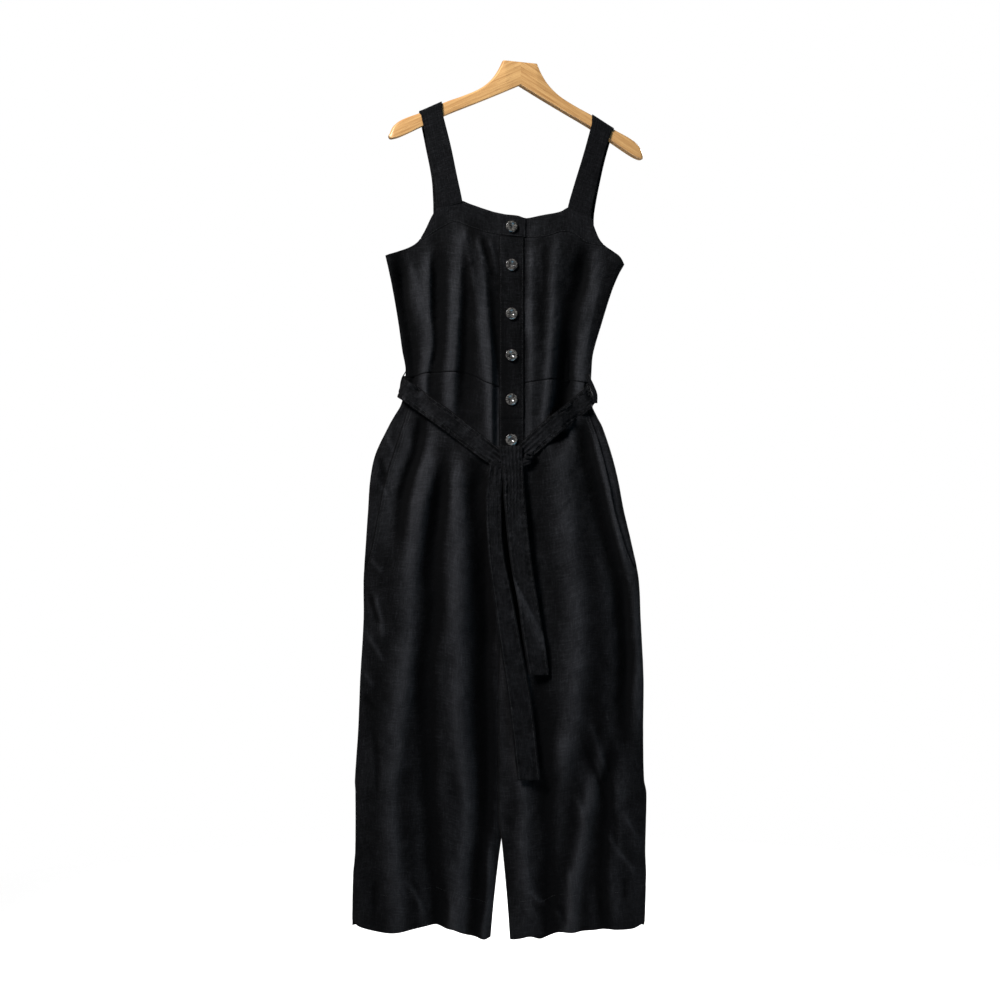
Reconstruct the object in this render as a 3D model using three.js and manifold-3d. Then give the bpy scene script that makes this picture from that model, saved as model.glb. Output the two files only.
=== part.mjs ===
// A sleeveless wide-leg jumpsuit in heavy linen, hanging from a plain wooden hanger.
// Millimetres, +Z up. The wearer's front faces -Y, and the viewer's left is -X.
// The origin is the middle of the hanger's neck top, where a hook's shank would enter.
// Every cloth piece is a wall whose points are worked out as a height over the X-Z plane.

import * as THREE from 'three';
import { mergeVertices } from 'three/addons/utils/BufferGeometryUtils.js';
import Module from 'manifold-3d';

const wasm = await Module();
wasm.setup();

// Driving dimensions

const wall = 1.8; // cloth and its seam allowance, measured front to back
const seamGap = 0.3; // between neighbouring pieces
const buttonDiameter = 19;
const beltWidth = 33;
const centreFront = -26; // where the two fronts meet under the placket
const innerSeams = -31; // where the legs meet below the crotch
const placketLeft = -34;
const placketRight = 7;
const placketEnd = -668;
const crotch = -885;
const legOverlap = 4; // how far each inner leg edge passes the middle
const legShift = 5; // how far the right leg hangs in front of it, and the left leg behind
const calm = { from: 28, to: 44 }; // distances from the placket where folds begin and are full
const underarm = -327;

const hanger = {
  yaw: 20, // degrees, right end away from the viewer
  halfThickness: 6.5,
  edgeRadius: 3.5,
  socketRadius: 3,
  socketDepth: 22,
  reach: 224,
};

// Half of the hanger's outline, from the neck out along the top and back underneath
const hangerTop = [
  { along: 29, z: 0 },
  { along: 35, z: -12.5 },
  { along: 45, z: -28 },
  { along: 59, z: -42 },
  { along: 75, z: -53 },
  { along: 101, z: -65.5 },
  { along: 128, z: -77 },
  { along: 168, z: -97 },
  { along: 200, z: -111 },
  { along: 214, z: -121 },
  { along: 222, z: -134 },
];
const hangerUnder = [
  { along: 222, z: -145 },
  { along: 205, z: -139.5 },
  { along: 170, z: -121 },
  { along: 126, z: -97.5 },
  { along: 70, z: -71.5 },
  { along: 35, z: -55 },
];
const hangerNotch = { along: 0, z: -38 }; // top of the inverted V under the neck

// Side seams, seen from the front
const outline = [
  { z: -327, left: -217.5, right: 176.5 },
  { z: -345, left: -213.5, right: 166.5 },
  { z: -375, left: -207.5, right: 154 },
  { z: -430, left: -198.5, right: 136.5 },
  { z: -478, left: -192, right: 122.5 },
  { z: -508, left: -187, right: 119.5 },
  { z: -541, left: -189.5, right: 118.5 },
  { z: -565, left: -194.4, right: 120 },
  { z: -585, left: -206, right: 129 },
  { z: -600, left: -214.5, right: 137 },
  { z: -648, left: -237, right: 153 },
  { z: -690, left: -245.5, right: 163.5 },
  { z: -738, left: -249, right: 172.5 },
  { z: -796, left: -253, right: 186 },
  { z: -851, left: -256.5, right: 197 },
  { z: -920, left: -256.8, right: 200.5 },
  { z: -1018, left: -262.5, right: 205 },
  { z: -1100, left: -265.8, right: 204.3 },
  { z: -1183, left: -271.3, right: 205.7 },
  { z: -1205, left: -270.5, right: 209.5 },
  { z: -1300, left: -271, right: 207.6 },
  { z: -1340, left: -274.4, right: 209 },
  { z: -1440, left: -276.5, right: 206 },
];

// Front-to-back fullness, and how far the two legs are still one torso (1) or parted (0)
const fullness = [
  { z: -240, front: 22, back: 9, torso: 1 },
  { z: -327, front: 31, back: 15, torso: 1 },
  { z: -430, front: 30, back: 16, torso: 1 },
  { z: -530, front: 25, back: 18, torso: 1 },
  { z: -640, front: 31, back: 24, torso: 1 },
  { z: -700, front: 33, back: 26, torso: 0.92 },
  { z: -800, front: 31, back: 25, torso: 0.4 },
  { z: -885, front: 29, back: 23, torso: 0 },
  { z: -1150, front: 27, back: 21, torso: 0 },
  { z: -1430, front: 25, back: 19, torso: 0 },
];

// The garment follows the hanger's turn at the straps and loses it towards the hem
const turn = [
  { z: -200, degrees: 20 },
  { z: -320, degrees: 14 },
  { z: -430, degrees: 8 },
  { z: -560, degrees: 4 },
  { z: -900, degrees: 1.5 },
  { z: -1440, degrees: 0 },
];

// Inner edges of the legs, seen from the front, below the place where they part
const innerLeg = [
  { z: -1250, left: -26.5, right: -35 },
  { z: -1280, left: -29.7, right: -30 },
  { z: -1316, left: -34.6, right: -26.3 },
  { z: -1382, left: -42, right: -20.4 },
  { z: -1445, left: -47.6, right: -16 },
];

// Upper edge of the front: armhole, strap seam, neckline, strap seam, armhole
const frontTop = [
  { x: -217.5, z: -327 },
  { x: -194, z: -319.8 },
  { x: -181, z: -315.8 },
  { x: -169.5, z: -309.8 },
  { x: -160.8, z: -301.2 },
  { x: -151.5, z: -285 },
  { x: -143.5, z: -268 },
  { x: -135, z: -253 },
  { x: -92.5, z: -238 },
  { x: -81, z: -242.4 },
  { x: -48, z: -252 },
  { x: -26, z: -256.6 },
  { x: -3, z: -258 },
  { x: 10, z: -261 },
  { x: 34, z: -255 },
  { x: 67, z: -246 },
  { x: 79.5, z: -238 },
  { x: 119.5, z: -251 },
  { x: 126.5, z: -272.7 },
  { x: 133.7, z: -288.7 },
  { x: 143.8, z: -298.7 },
  { x: 158.9, z: -307.6 },
  { x: 170, z: -315.5 },
  { x: 176.5, z: -327 },
];
const frontYokeSeam = [
  { x: -160, z: -305 },
  { x: -137, z: -290 },
  { x: -118, z: -278 },
  { x: -104, z: -273 },
  { x: -81, z: -280 },
  { x: -48, z: -289 },
  { x: 9, z: -293 },
  { x: 42, z: -290 },
  { x: 66, z: -281 },
  { x: 82, z: -279 },
  { x: 95, z: -285 },
  { x: 110, z: -295 },
  { x: 140, z: -299.5 },
];
const backTop = [
  { x: -217.5, z: -330 },
  { x: -190, z: -325 },
  { x: -170, z: -316 },
  { x: -160, z: -306 },
  { x: -150, z: -290 },
  { x: -143, z: -275 },
  { x: -140, z: -263 },
  { x: 125.5, z: -263 },
  { x: 130, z: -280 },
  { x: 137, z: -296 },
  { x: 147, z: -305 },
  { x: 161, z: -314 },
  { x: 176.5, z: -330 },
];
const backYokeSeam = -303;
const backYokeEnds = { left: -156, right: 143 };
const armholeCorner = { left: -159.5, right: 139.5 }; // where the yoke seam runs into the armhole
const waistSeam = [
  { x: -190, z: -524 },
  { x: -154, z: -516 },
  { x: -97, z: -515 },
  { x: -81, z: -518 },
  { x: -48, z: -534 },
  { x: -26, z: -538 },
  { x: 10, z: -531 },
  { x: 66, z: -524 },
  { x: 118, z: -530 },
];
const backWaist = -527;

const frontHem = [
  { x: -276.5, z: -1413 },
  { x: -264, z: -1423 },
  { x: -220, z: -1429 },
  { x: -180, z: -1423.5 },
  { x: -142, z: -1418.5 },
  { x: -122, z: -1424.5 },
  { x: -106, z: -1424.5 },
  { x: -74, z: -1440 },
  { x: -56, z: -1446 },
  { x: -46, z: -1443 },
  { x: -13, z: -1444 },
  { x: 17, z: -1437 },
  { x: 35, z: -1440 },
  { x: 66, z: -1427 },
  { x: 115, z: -1424.5 },
  { x: 184, z: -1426 },
  { x: 207, z: -1417 },
];
const backHem = -1424;

// Slanted pocket edges, from the waist to where they reach the side seam
const pocketEdge = [
  { z: -520, left: -172, right: 107 },
  { z: -567, left: -182, right: 112 },
  { z: -624, left: -200, right: 131 },
  { z: -692, left: -221, right: 148 },
  { z: -740, left: -231, right: 158 },
  { z: -795, left: -242, right: 174 },
  { z: -832, left: -252.6, right: 189.5 },
];
const pocketEnd = -832;
const pocketTuck = 14; // how far the side piece reaches under the front

const strapLeft = [
  { z: -95, inner: -125.5, outer: -161 },
  { z: -150, inner: -111.6, outer: -149 },
  { z: -200, inner: -101.2, outer: -138.5 },
  { z: -236, inner: -93.5, outer: -135.5 },
  { z: -254, inner: -91, outer: -135 },
];
const strapRight = [
  { z: -92, inner: 121.5, outer: 158.5 },
  { z: -145, inner: 107, outer: 142 },
  { z: -203, inner: 89.5, outer: 128 },
  { z: -238, inner: 79.9, outer: 121 },
  { z: -252, inner: 79.5, outer: 119.5 },
];
const strapSplay = 6; // the back run lies this much further out

// Folds of the front. Each runs down a line; height is towards the viewer,
// and before and after are its widths to the left and right of the line.
const frontFolds = [
  { height: -7, before: 14, after: 16, line: [[-196, -335], [-187, -427], [-174, -520]] },
  { height: 6, before: 15, after: 7, line: [[-146, -330], [-144, -427], [-146, -520]] },
  { height: 8, before: 22, after: 12, line: [[-112, -300], [-104, -427], [-100, -545]] },
  { height: 8, before: 20, after: 11, line: [[-66, -310], [-53, -427], [-39, -560]] },
  { height: 6, before: 14, after: 17, line: [[22, -300], [17, -427], [17, -560]] },
  { height: 6, before: 12, after: 15, line: [[65, -300], [54, -380], [46, -560]] },
  { height: -9, before: 14, after: 12, line: [[112, -315], [95, -380], [85, -445], [69, -560]] },
  { height: -8, before: 12, after: 13, line: [[-161, -590], [-167, -636], [-183, -686], [-195, -780]] },
  {
    height: 8, before: 26, after: 13,
    line: [[-136, -640], [-157, -735], [-175, -833], [-190, -1046], [-208, -1211], [-195, -1420]],
  },
  {
    height: -6, before: 12, after: 14,
    line: [[-128, -640], [-133, -850], [-147, -1080], [-139, -1310], [-128, -1420]],
  },
  {
    height: 9, before: 20, after: 18,
    line: [[-104, -660], [-97, -883], [-91, -1110], [-79, -1211], [-87, -1310], [-100, -1420]],
  },
  { height: 6, before: 10, after: 8, line: [[-45, -1240], [-49, -1380], [-54, -1430]] },
  {
    height: 9, before: 26, after: 20,
    line: [[70, -625], [86, -751], [115, -883], [124, -1047], [99, -1160]],
  },
  {
    height: -9, before: 18, after: 14,
    line: [[107, -600], [132, -719], [165, -850], [176, -960], [177, -1100]],
  },
  { height: 6, before: 18, after: 16, line: [[10, -960], [5, -1150], [12, -1400]] },
  { height: -6, before: 13, after: 13, line: [[60, -1050], [52, -1250], [47, -1430]] },
  { height: 7, before: 16, after: 15, line: [[118, -1180], [98, -1300], [82, -1430]] },
  { height: -5, before: 12, after: 12, line: [[150, -1140], [140, -1290], [135, -1430]] },
];

// Similar, quieter folds of the back
const backFolds = [
  { height: 6, before: 20, after: 13, line: [[-120, -330], [-108, -430], [-100, -560]] },
  { height: -5, before: 14, after: 14, line: [[-60, -340], [-55, -450], [-60, -580]] },
  { height: 6, before: 14, after: 20, line: [[30, -330], [24, -440], [20, -570]] },
  { height: -6, before: 13, after: 15, line: [[92, -340], [80, -440], [70, -560]] },
  { height: 8, before: 20, after: 26, line: [[-165, -640], [-190, -860], [-200, -1150], [-190, -1420]] },
  { height: -7, before: 16, after: 14, line: [[-120, -660], [-135, -900], [-140, -1200], [-132, -1420]] },
  { height: 7, before: 16, after: 20, line: [[-80, -700], [-85, -950], [-78, -1250], [-90, -1420]] },
  { height: 8, before: 22, after: 18, line: [[60, -640], [85, -900], [70, -1200], [60, -1420]] },
  { height: -7, before: 15, after: 16, line: [[110, -660], [140, -950], [130, -1200], [120, -1420]] },
  { height: 6, before: 14, after: 14, line: [[20, -930], [25, -1200], [15, -1420]] },
];

const beltPath = [
  { x: -31, z: -659, side: 'front' },
  { x: -66, z: -633, side: 'front' },
  { x: -97, z: -609, side: 'front' },
  { x: -130, z: -584, side: 'front' },
  { x: -162, z: -561, side: 'front' },
  { x: -184, z: -545, side: 'front' },
  { x: -197.6, z: -537, side: 'edge' },
  { x: -184, z: -534, side: 'back' },
  { x: -120, z: -540, side: 'back' },
  { x: -35, z: -546, side: 'back' },
  { x: 50, z: -542, side: 'back' },
  { x: 112, z: -538, side: 'back' },
  { x: 126.6, z: -541, side: 'edge' },
  { x: 112, z: -555, side: 'front' },
  { x: 90, z: -573, side: 'front' },
  { x: 66, z: -592, side: 'front' },
  { x: 37, z: -617, side: 'front' },
  { x: 3, z: -648, side: 'front' },
];
const knot = { x: -15, z: -655, width: 39, height: 38, depth: 15 };
const tailLong = [
  { z: -674.3, left: -53, right: -27 },
  { z: -722, left: -55, right: -30 },
  { z: -800, left: -52, right: -27 },
  { z: -884, left: -42, right: -11 },
  { z: -966, left: -31, right: 4 },
  { z: -1047, left: -19, right: 19 },
  { z: -1177, left: -4, right: 34 },
];
const tailShort = [
  { z: -674.3, left: -26, right: 6 },
  { z: -722, left: -26, right: 9 },
  { z: -819, left: -16, right: 19 },
  { z: -884, left: -4, right: 29 },
  { z: -949, left: 5, right: 40 },
  { z: -1006, left: 15, right: 48 },
];
const loopPath = [
  { left: -189, right: 121.5, z: -503 },
  { left: -194, right: 124.5, z: -508 },
  { left: -201.5, right: 130, z: -515 },
  { left: -202.8, right: 131.8, z: -540 },
  { left: -202.8, right: 131.6, z: -560 },
  { left: -203.2, right: 129.5, z: -569 },
];
const tailDepth = { long: 41.3, short: 42.6 }; // in front of the hanger's plane
const buttonHeights = [-277, -340, -419, -486, -558, -624];
const buttonX = -13.5;

// Small helpers for numbers and tables

const clamp = (value, low, high) => Math.min(high, Math.max(low, value));
const mix = (a, b, t) => a + (b - a) * t;
const radians = (degrees) => (degrees * Math.PI) / 180;

function ease(from, to, at) {
  const t = clamp((at - from) / (to - from), 0, 1);
  return t * t * (3 - 2 * t);
}

// The output column at a place in the input column, on a smooth curve through the rows
function read(rows, input, at, output) {
  const rising = rows[1][input] > rows[0][input];
  let i = 0;
  while (i < rows.length - 2 && (rising ? at > rows[i + 1][input] : at < rows[i + 1][input])) i += 1;
  const slope = (k) => {
    const before = rows[Math.max(k - 1, 0)];
    const after = rows[Math.min(k + 1, rows.length - 1)];
    return (after[output] - before[output]) / (after[input] - before[input]);
  };
  const span = rows[i + 1][input] - rows[i][input];
  const t = clamp((at - rows[i][input]) / span, 0, 1);
  const rise = rows[i + 1][output] - rows[i][output];
  const swing = (slope(i) * (1 - t) - slope(i + 1) * t) * span - rise * (1 - 2 * t);
  return rows[i][output] + rise * t + swing * t * (1 - t);
}

// The same for an edge with corners, along straight lines from row to row
function readStraight(rows, at) {
  let i = 0;
  while (i < rows.length - 2 && at > rows[i + 1].x) i += 1;
  const t = clamp((at - rows[i].x) / (rows[i + 1].x - rows[i].x), 0, 1);
  return mix(rows[i].z, rows[i + 1].z, t);
}

// The garment's surfaces

const sideSeam = (side, z) => read(outline, 'z', Math.min(z, underarm), side);

function middleSeam(side, z) {
  if (z > crotch) return mix(centreFront, innerSeams, ease(placketEnd + 28, crotch, z));
  const passing = side === 'left' ? legOverlap : -legOverlap;
  const closed = innerSeams + passing * ease(crotch - 50, crotch - 150, z);
  const parted = read(innerLeg, 'z', z, side);
  return mix(closed, parted, ease(-1200, -1250, z));
}

function seamPlane(side, x, z) {
  const from = sideSeam(side, z);
  const inner = clamp((x - from) / (middleSeam(side, z) - from), 0, 1);
  const shift = side === 'left' ? legShift : -legShift;
  return shift * inner * inner * ease(crotch, crotch - 80, z);
}

// How far along the way from the side seam to the middle, bent to a lens-shaped section
function swell(side, x, z) {
  const from = sideSeam(side, z);
  const t = clamp((x - from) / (middleSeam(side, z) - from), 0, 1);
  const torso = read(fullness, 'z', z, 'torso');
  const leg = Math.sin(Math.PI * t) ** 0.9;
  const body = Math.sin((Math.PI * t) / 2) ** 0.9;
  const edge = torso > 0.99 ? ease(0, 0.12, t) : ease(0, 0.12, t) * ease(0, 0.12, 1 - t);
  return { round: mix(leg, body, clamp(torso, 0, 1)), edge: mix(edge, ease(0, 0.12, t), torso) };
}

function foldHeight(folds, x, z) {
  let total = 0;
  for (const fold of folds) {
    const rows = fold.line.map(([across, down]) => ({ x: across, z: down }));
    const top = rows[0].z;
    const end = rows[rows.length - 1].z;
    const fade = ease(top + 35, top - 35, z) * (end < -1400 ? 1 : ease(end - 45, end + 45, z));
    const offset = x - read(rows, 'z', z, 'x');
    const width = offset < 0 ? fold.before : fold.after;
    total += fold.height * fade * Math.exp(-((offset / width) ** 2));
  }
  return total;
}

// The placket keeps the folds off itself
const placketCalm = (x, z) => {
  const near = Math.abs(x - (placketLeft + placketRight) / 2);
  return mix(1, ease(calm.from, calm.to, near), ease(placketEnd - 52, placketEnd - 22, z));
};

function frontDepth(side, x, z) {
  const { round, edge } = swell(side, x, z);
  return read(fullness, 'z', z, 'front') * round + foldHeight(frontFolds, x, z) * edge * placketCalm(x, z);
}

function backDepth(side, x, z) {
  const { round, edge } = swell(side, x, z);
  return read(fullness, 'z', z, 'back') * round + foldHeight(backFolds, x, z) * edge;
}

// A point that lies lift millimetres outside the wall's inner face
const shear = (x, z) => x * Math.tan(radians(read(turn, 'z', z, 'degrees')));
function frontPoint(side, x, z, lift = 0) {
  const y = seamPlane(side, x, z) + shear(x, z) - seamGap - frontDepth(side, x, z) - lift;
  return new THREE.Vector3(x, y, z);
}
function backPoint(side, x, z, lift = 0) {
  const y = seamPlane(side, x, z) + shear(x, z) + seamGap + backDepth(side, x, z) + lift;
  return new THREE.Vector3(x, y, z);
}

// The nearest depth that clears every fold around a place, for what is drawn tight over them
function bridgeDepth(depth, side, x, z) {
  let most = 0;
  for (const across of [-24, -12, 0, 12, 24]) {
    for (const down of [-18, 0, 18]) most = Math.max(most, depth(side, x + across, z + down));
  }
  return most;
}

// Solids from grids

// Closes two grids of points, an inner and an outer face, into one wall
function slab(inner, outer) {
  const rows = inner.length;
  const columns = inner[0].length;
  const positions = [];
  for (const face of [inner, outer]) for (const row of face) for (const p of row) positions.push(p.x, p.y, p.z);
  const at = (face, i, j) => face * rows * columns + i * columns + j;
  const index = [];
  const quad = (a, b, c, d) => index.push(a, b, c, a, c, d);
  for (let i = 0; i < rows - 1; i += 1) {
    for (let j = 0; j < columns - 1; j += 1) {
      quad(at(0, i, j), at(0, i + 1, j), at(0, i + 1, j + 1), at(0, i, j + 1));
      quad(at(1, i, j), at(1, i, j + 1), at(1, i + 1, j + 1), at(1, i + 1, j));
    }
  }
  for (let i = 0; i < rows - 1; i += 1) {
    quad(at(0, i, 0), at(1, i, 0), at(1, i + 1, 0), at(0, i + 1, 0));
    quad(at(0, i, columns - 1), at(0, i + 1, columns - 1), at(1, i + 1, columns - 1), at(1, i, columns - 1));
  }
  for (let j = 0; j < columns - 1; j += 1) {
    quad(at(0, 0, j), at(0, 0, j + 1), at(1, 0, j + 1), at(1, 0, j));
    quad(at(0, rows - 1, j), at(1, rows - 1, j), at(1, rows - 1, j + 1), at(0, rows - 1, j + 1));
  }
  return facingOut(positions, index);
}

function facingOut(positions, index) {
  const corner = (k) => new THREE.Vector3().fromArray(positions, 3 * index[k]);
  let volume = 0;
  for (let k = 0; k < index.length; k += 3) volume += corner(k).dot(corner(k + 1).cross(corner(k + 2)));
  if (volume < 0) index.reverse();
  const geometry = new THREE.BufferGeometry();
  geometry.setAttribute('position', new THREE.Float32BufferAttribute(positions, 3));
  geometry.setIndex(index);
  return geometry;
}

// A wall over the X-Z plane: place gives x and z for two parameters, point gives the surface
function panel({ columns, rows, place, point, lift = () => 0, thickness = wall }) {
  const faces = [0, thickness].map((extra) => {
    const grid = [];
    for (let i = 0; i <= columns; i += 1) {
      const line = [];
      for (let j = 0; j <= rows; j += 1) {
        const { x, z } = place(i / columns, j / rows);
        line.push(point(x, z, lift(x, z) + extra));
      }
      grid.push(line);
    }
    return grid;
  });
  return slab(faces[0], faces[1]);
}

// Parameters spaced closer towards both side seams, where a section curves most
const toBothSeams = (t) => (1 - Math.cos(t * Math.PI)) / 2;

// A strip along a path, with its width along one direction and its thickness along another
function strip(path, frames, halfWidth, thickness) {
  const face = (extra) => path.map((p, k) => {
    const { across, outward } = frames[k];
    return [-1, 0, 1].map((s) => p.clone()
      .addScaledVector(across, s * halfWidth)
      .addScaledVector(outward, extra));
  });
  return slab(face(0), face(thickness));
}

// The hanger

const hangerHeight = (x) => {
  const along = clamp(Math.abs(x) / Math.cos(radians(hanger.yaw)), 29, hanger.reach - 2);
  return read(hangerTop, 'along', along, 'z');
};

function makeHanger() {
  const right = hangerTop.map(({ along, z }) => new THREE.Vector2(along, z));
  const under = hangerUnder.map(({ along, z }) => new THREE.Vector2(along, z));
  const mirror = (points) => points.map((p) => new THREE.Vector2(-p.x, p.y)).reverse();
  const upper = new THREE.SplineCurve(right).getPoints(15);
  const lower = new THREE.SplineCurve(under).getPoints(6);
  const notch = new THREE.Vector2(hangerNotch.along, hangerNotch.z);
  const shape = new THREE.Shape([...upper, ...lower, notch, ...mirror(lower), ...mirror(upper)]);
  const body = new THREE.ExtrudeGeometry(shape, {
    depth: 2 * (hanger.halfThickness - hanger.edgeRadius),
    bevelThickness: hanger.edgeRadius,
    bevelSize: hanger.edgeRadius,
    bevelOffset: -hanger.edgeRadius,
    bevelSegments: 2,
    curveSegments: 1,
  });
  body.translate(0, 0, -(hanger.halfThickness - hanger.edgeRadius));
  body.rotateX(Math.PI / 2);
  const socket = new THREE.CylinderGeometry(hanger.socketRadius, hanger.socketRadius, hanger.socketDepth, 16);
  socket.rotateX(Math.PI / 2);
  socket.translate(0, 0, 1 - hanger.socketDepth / 2);
  return toGeometry(toSolid(body).subtract(toSolid(socket)));
}

function toSolid(geometry) {
  const bare = new THREE.BufferGeometry();
  bare.setAttribute('position', geometry.attributes.position);
  if (geometry.index) bare.setIndex(geometry.index);
  const merged = mergeVertices(bare, 1e-4);
  return new wasm.Manifold(new wasm.Mesh({
    numProp: 3,
    vertProperties: new Float32Array(merged.attributes.position.array),
    triVerts: new Uint32Array(merged.index.array),
  }));
}

function toGeometry(solid) {
  const { vertProperties, triVerts } = solid.getMesh();
  const geometry = new THREE.BufferGeometry();
  geometry.setAttribute('position', new THREE.BufferAttribute(new Float32Array(vertProperties), 3));
  geometry.setIndex(new THREE.BufferAttribute(new Uint32Array(triVerts), 1));
  return geometry;
}

// Straps: up the front, over the hanger's arm and down the back

function makeStrap(side, rows) {
  const flat = hanger.halfThickness / Math.cos(radians(hanger.yaw));
  const clear = seamGap + 0.35;
  const corner = hanger.edgeRadius + 0.6;
  const stations = [0, 0.25, 0.5, 0.75, 1];
  const faces = [0, wall].map((extra) => stations.map((s) => {
    const across = (z, splay) => mix(read(rows, 'z', z, 'inner'), read(rows, 'z', z, 'outer'), s)
      + (side === 'left' ? -splay : splay);
    const crown = hangerHeight(across(rows[0].z, 0)) + clear;
    const line = [];
    const frontEnd = readStraight(frontTop, across(rows[rows.length - 1].z, 0)) + seamGap;
    const backEnd = readStraight(backTop, 0) + seamGap;
    const half = flat + clear;
    const steps = 6;
    for (let k = 0; k <= steps; k += 1) {
      const z = mix(frontEnd, crown - corner, k / steps);
      const x = across(z, 0);
      const base = frontDepth(side, x, frontEnd) + seamGap;
      line.push(new THREE.Vector3(x, shear(x, z) - mix(base, half, k / steps) - extra, z));
    }
    for (const [centre, sign] of [[corner - half, 1], [half - corner, -1]]) {
      for (let k = 1; k <= 3; k += 1) {
        const angle = sign > 0 ? Math.PI - (k * Math.PI) / 6 : Math.PI / 2 - (k * Math.PI) / 6;
        const reach = corner + extra;
        const z = crown - corner + reach * Math.sin(angle);
        const x = across(rows[0].z, (strapSplay * (sign > 0 ? k : 3 + k)) / 12);
        line.push(new THREE.Vector3(x, shear(x, z) + centre + reach * Math.cos(angle), z));
      }
    }
    for (let k = 1; k <= steps; k += 1) {
      const t = k / steps;
      const z = mix(crown - corner, backEnd, t);
      const x = across(z, mix(strapSplay / 2, strapSplay, t));
      const base = backDepth(side, x, backEnd) + seamGap;
      line.push(new THREE.Vector3(x, shear(x, z) + mix(half, base, t) + extra, z));
    }
    return line;
  }));
  return slab(faces[0], faces[1]);
}

// Bodice and yoke

// Columns across one front, as shares of the way from the side seam to the middle,
// with one at the armhole's corner so that bodice and yoke share their points along the seam
function frontColumns(side) {
  const outer = sideSeam(side, underarm);
  const middle = centreFront + (side === 'left' ? -seamGap : seamGap) / 2;
  const corner = (armholeCorner[side] - outer) / (middle - outer);
  const shares = [];
  for (let k = 0; k < 4; k += 1) shares.push((corner * k) / 4);
  for (let k = 0; k <= 11; k += 1) shares.push(mix(corner, 1, k / 11));
  return shares.map((share) => ({ share, across: (z) => mix(sideSeam(side, z), middle, share) }));
}

const frontUpperSeam = (x) => {
  const inYoke = x > armholeCorner.left - 0.5 && x < armholeCorner.right + 0.5;
  return inYoke ? read(frontYokeSeam, 'x', x, 'z') : readStraight(frontTop, x);
};
const backUpperSeam = (x) => Math.min(readStraight(backTop, x), backYokeSeam);
const frontWaist = (x) => read(waistSeam, 'x', x, 'z');

function makeBodiceFront(side) {
  const columns = frontColumns(side);
  return panel({
    columns: columns.length - 1,
    rows: 9,
    place: (u, v) => {
      const { across } = columns[Math.round(u * (columns.length - 1))];
      const low = frontWaist(across(-527)) + seamGap;
      const z = mix(low, frontUpperSeam(across(-300)) - seamGap / 2, v);
      return { x: across(z), z };
    },
    point: (x, z, lift) => frontPoint(side, x, z, lift),
  });
}

function makeBodiceBack() {
  return panel({
    columns: 22,
    rows: 9,
    place: (u, v) => {
      const across = (z) => mix(sideSeam('left', z), sideSeam('right', z), toBothSeams(u));
      const z = mix(backWaist + seamGap / 2, backUpperSeam(across(-300)) - seamGap / 2, v);
      return { x: across(z), z };
    },
    point: (x, z, lift) => backPoint(x < centreFront ? 'left' : 'right', x, z, lift),
  });
}

// The left yoke crosses over the right one at the buttons
const yokeCross = (x) => (wall + seamGap) * ease(placketLeft - 6, placketLeft + 5, x);

function makeYoke({ places, top, bottom, point, lift }) {
  return panel({
    columns: places.length - 1,
    rows: 2,
    place: (u, v) => {
      const x = places[Math.round(u * (places.length - 1))];
      const low = bottom(x) + seamGap / 2;
      return { x, z: mix(low, Math.max(top(x), low + 1), v) };
    },
    point: (x, z, extra) => point(x < centreFront ? 'left' : 'right', x, z, extra),
    lift,
  });
}

const yokeEdge = (x) => readStraight(frontTop, x);
const yokeSeam = (x) => read(frontYokeSeam, 'x', x, 'z');
const yokePlaces = (side) => frontColumns(side).slice(4).map(({ across }) => across(-300));

const makeYokeLeft = () => makeYoke({
  places: [...yokePlaces('left'), -17, -8, 1, 9.5], top: yokeEdge, bottom: yokeSeam, point: frontPoint,
  lift: yokeCross,
});
const makeYokeRight = () => makeYoke({
  places: yokePlaces('right'), top: yokeEdge, bottom: yokeSeam, point: frontPoint,
});
const makeYokeBack = () => makeYoke({
  places: Array.from({ length: 19 }, (_, k) => mix(backYokeEnds.left, backYokeEnds.right, k / 18)),
  top: (x) => readStraight(backTop, x),
  bottom: () => backYokeSeam,
  point: backPoint,
});

// Trousers

const pocketLine = (side, z) => read(pocketEdge, 'z', z, side);

function makeTrouserFront(side) {
  const toward = side === 'left' ? -seamGap / 2 : seamGap / 2;
  return panel({
    columns: 17,
    rows: 22,
    place: (u, v) => {
      const share = mix(u, toBothSeams(u), 0.4);
      const across = (z) => {
        const cut = z > pocketEnd ? pocketLine(side, z) : sideSeam(side, z);
        return mix(cut, middleSeam(side, z) + toward, share);
      };
      const high = frontWaist(across(-527)) - seamGap;
      const z = mix(high, read(frontHem, 'x', across(-1430), 'z'), v);
      return { x: across(z), z };
    },
    point: (x, z, lift) => frontPoint(side, x, z, lift),
  });
}

function makeTrouserBack(side) {
  const toward = side === 'left' ? -seamGap / 2 : seamGap / 2;
  return panel({
    columns: 14,
    rows: 17,
    place: (u, v) => {
      const z = mix(backWaist - seamGap / 2, backHem, v ** 1.2); // rows lie closer at the waist
      return { x: mix(sideSeam(side, z), middleSeam(side, z) + toward, toBothSeams(u)), z };
    },
    point: (x, z, lift) => backPoint(side, x, z, lift),
  });
}

// The pocket's side piece closes the corner outside the slanted edge and tucks under the front
function makePocketSide(side) {
  const inward = side === 'left' ? 1 : -1;
  const outsideShare = (x, z) => (pocketLine(side, z) - x) / (pocketLine(side, z) - sideSeam(side, z));
  return panel({
    columns: 7,
    rows: 12,
    place: (u, v) => {
      const z = mix(frontWaist(sideSeam(side, -527)) - 2 * seamGap, pocketEnd + 22, v);
      const share = 1 - (7 * u) / 5;
      const line = pocketLine(side, z);
      const x = share >= 0 ? mix(line, sideSeam(side, z), share) : line - inward * pocketTuck * share * 2.5;
      return { x, z };
    },
    point: (x, z, lift) => frontPoint(side, x, z, lift),
    lift: (x, z) => -(wall + 3 * seamGap) * (1 - ease(0.2, 0.8, outsideShare(x, z))),
  });
}

// Placket and buttons

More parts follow.
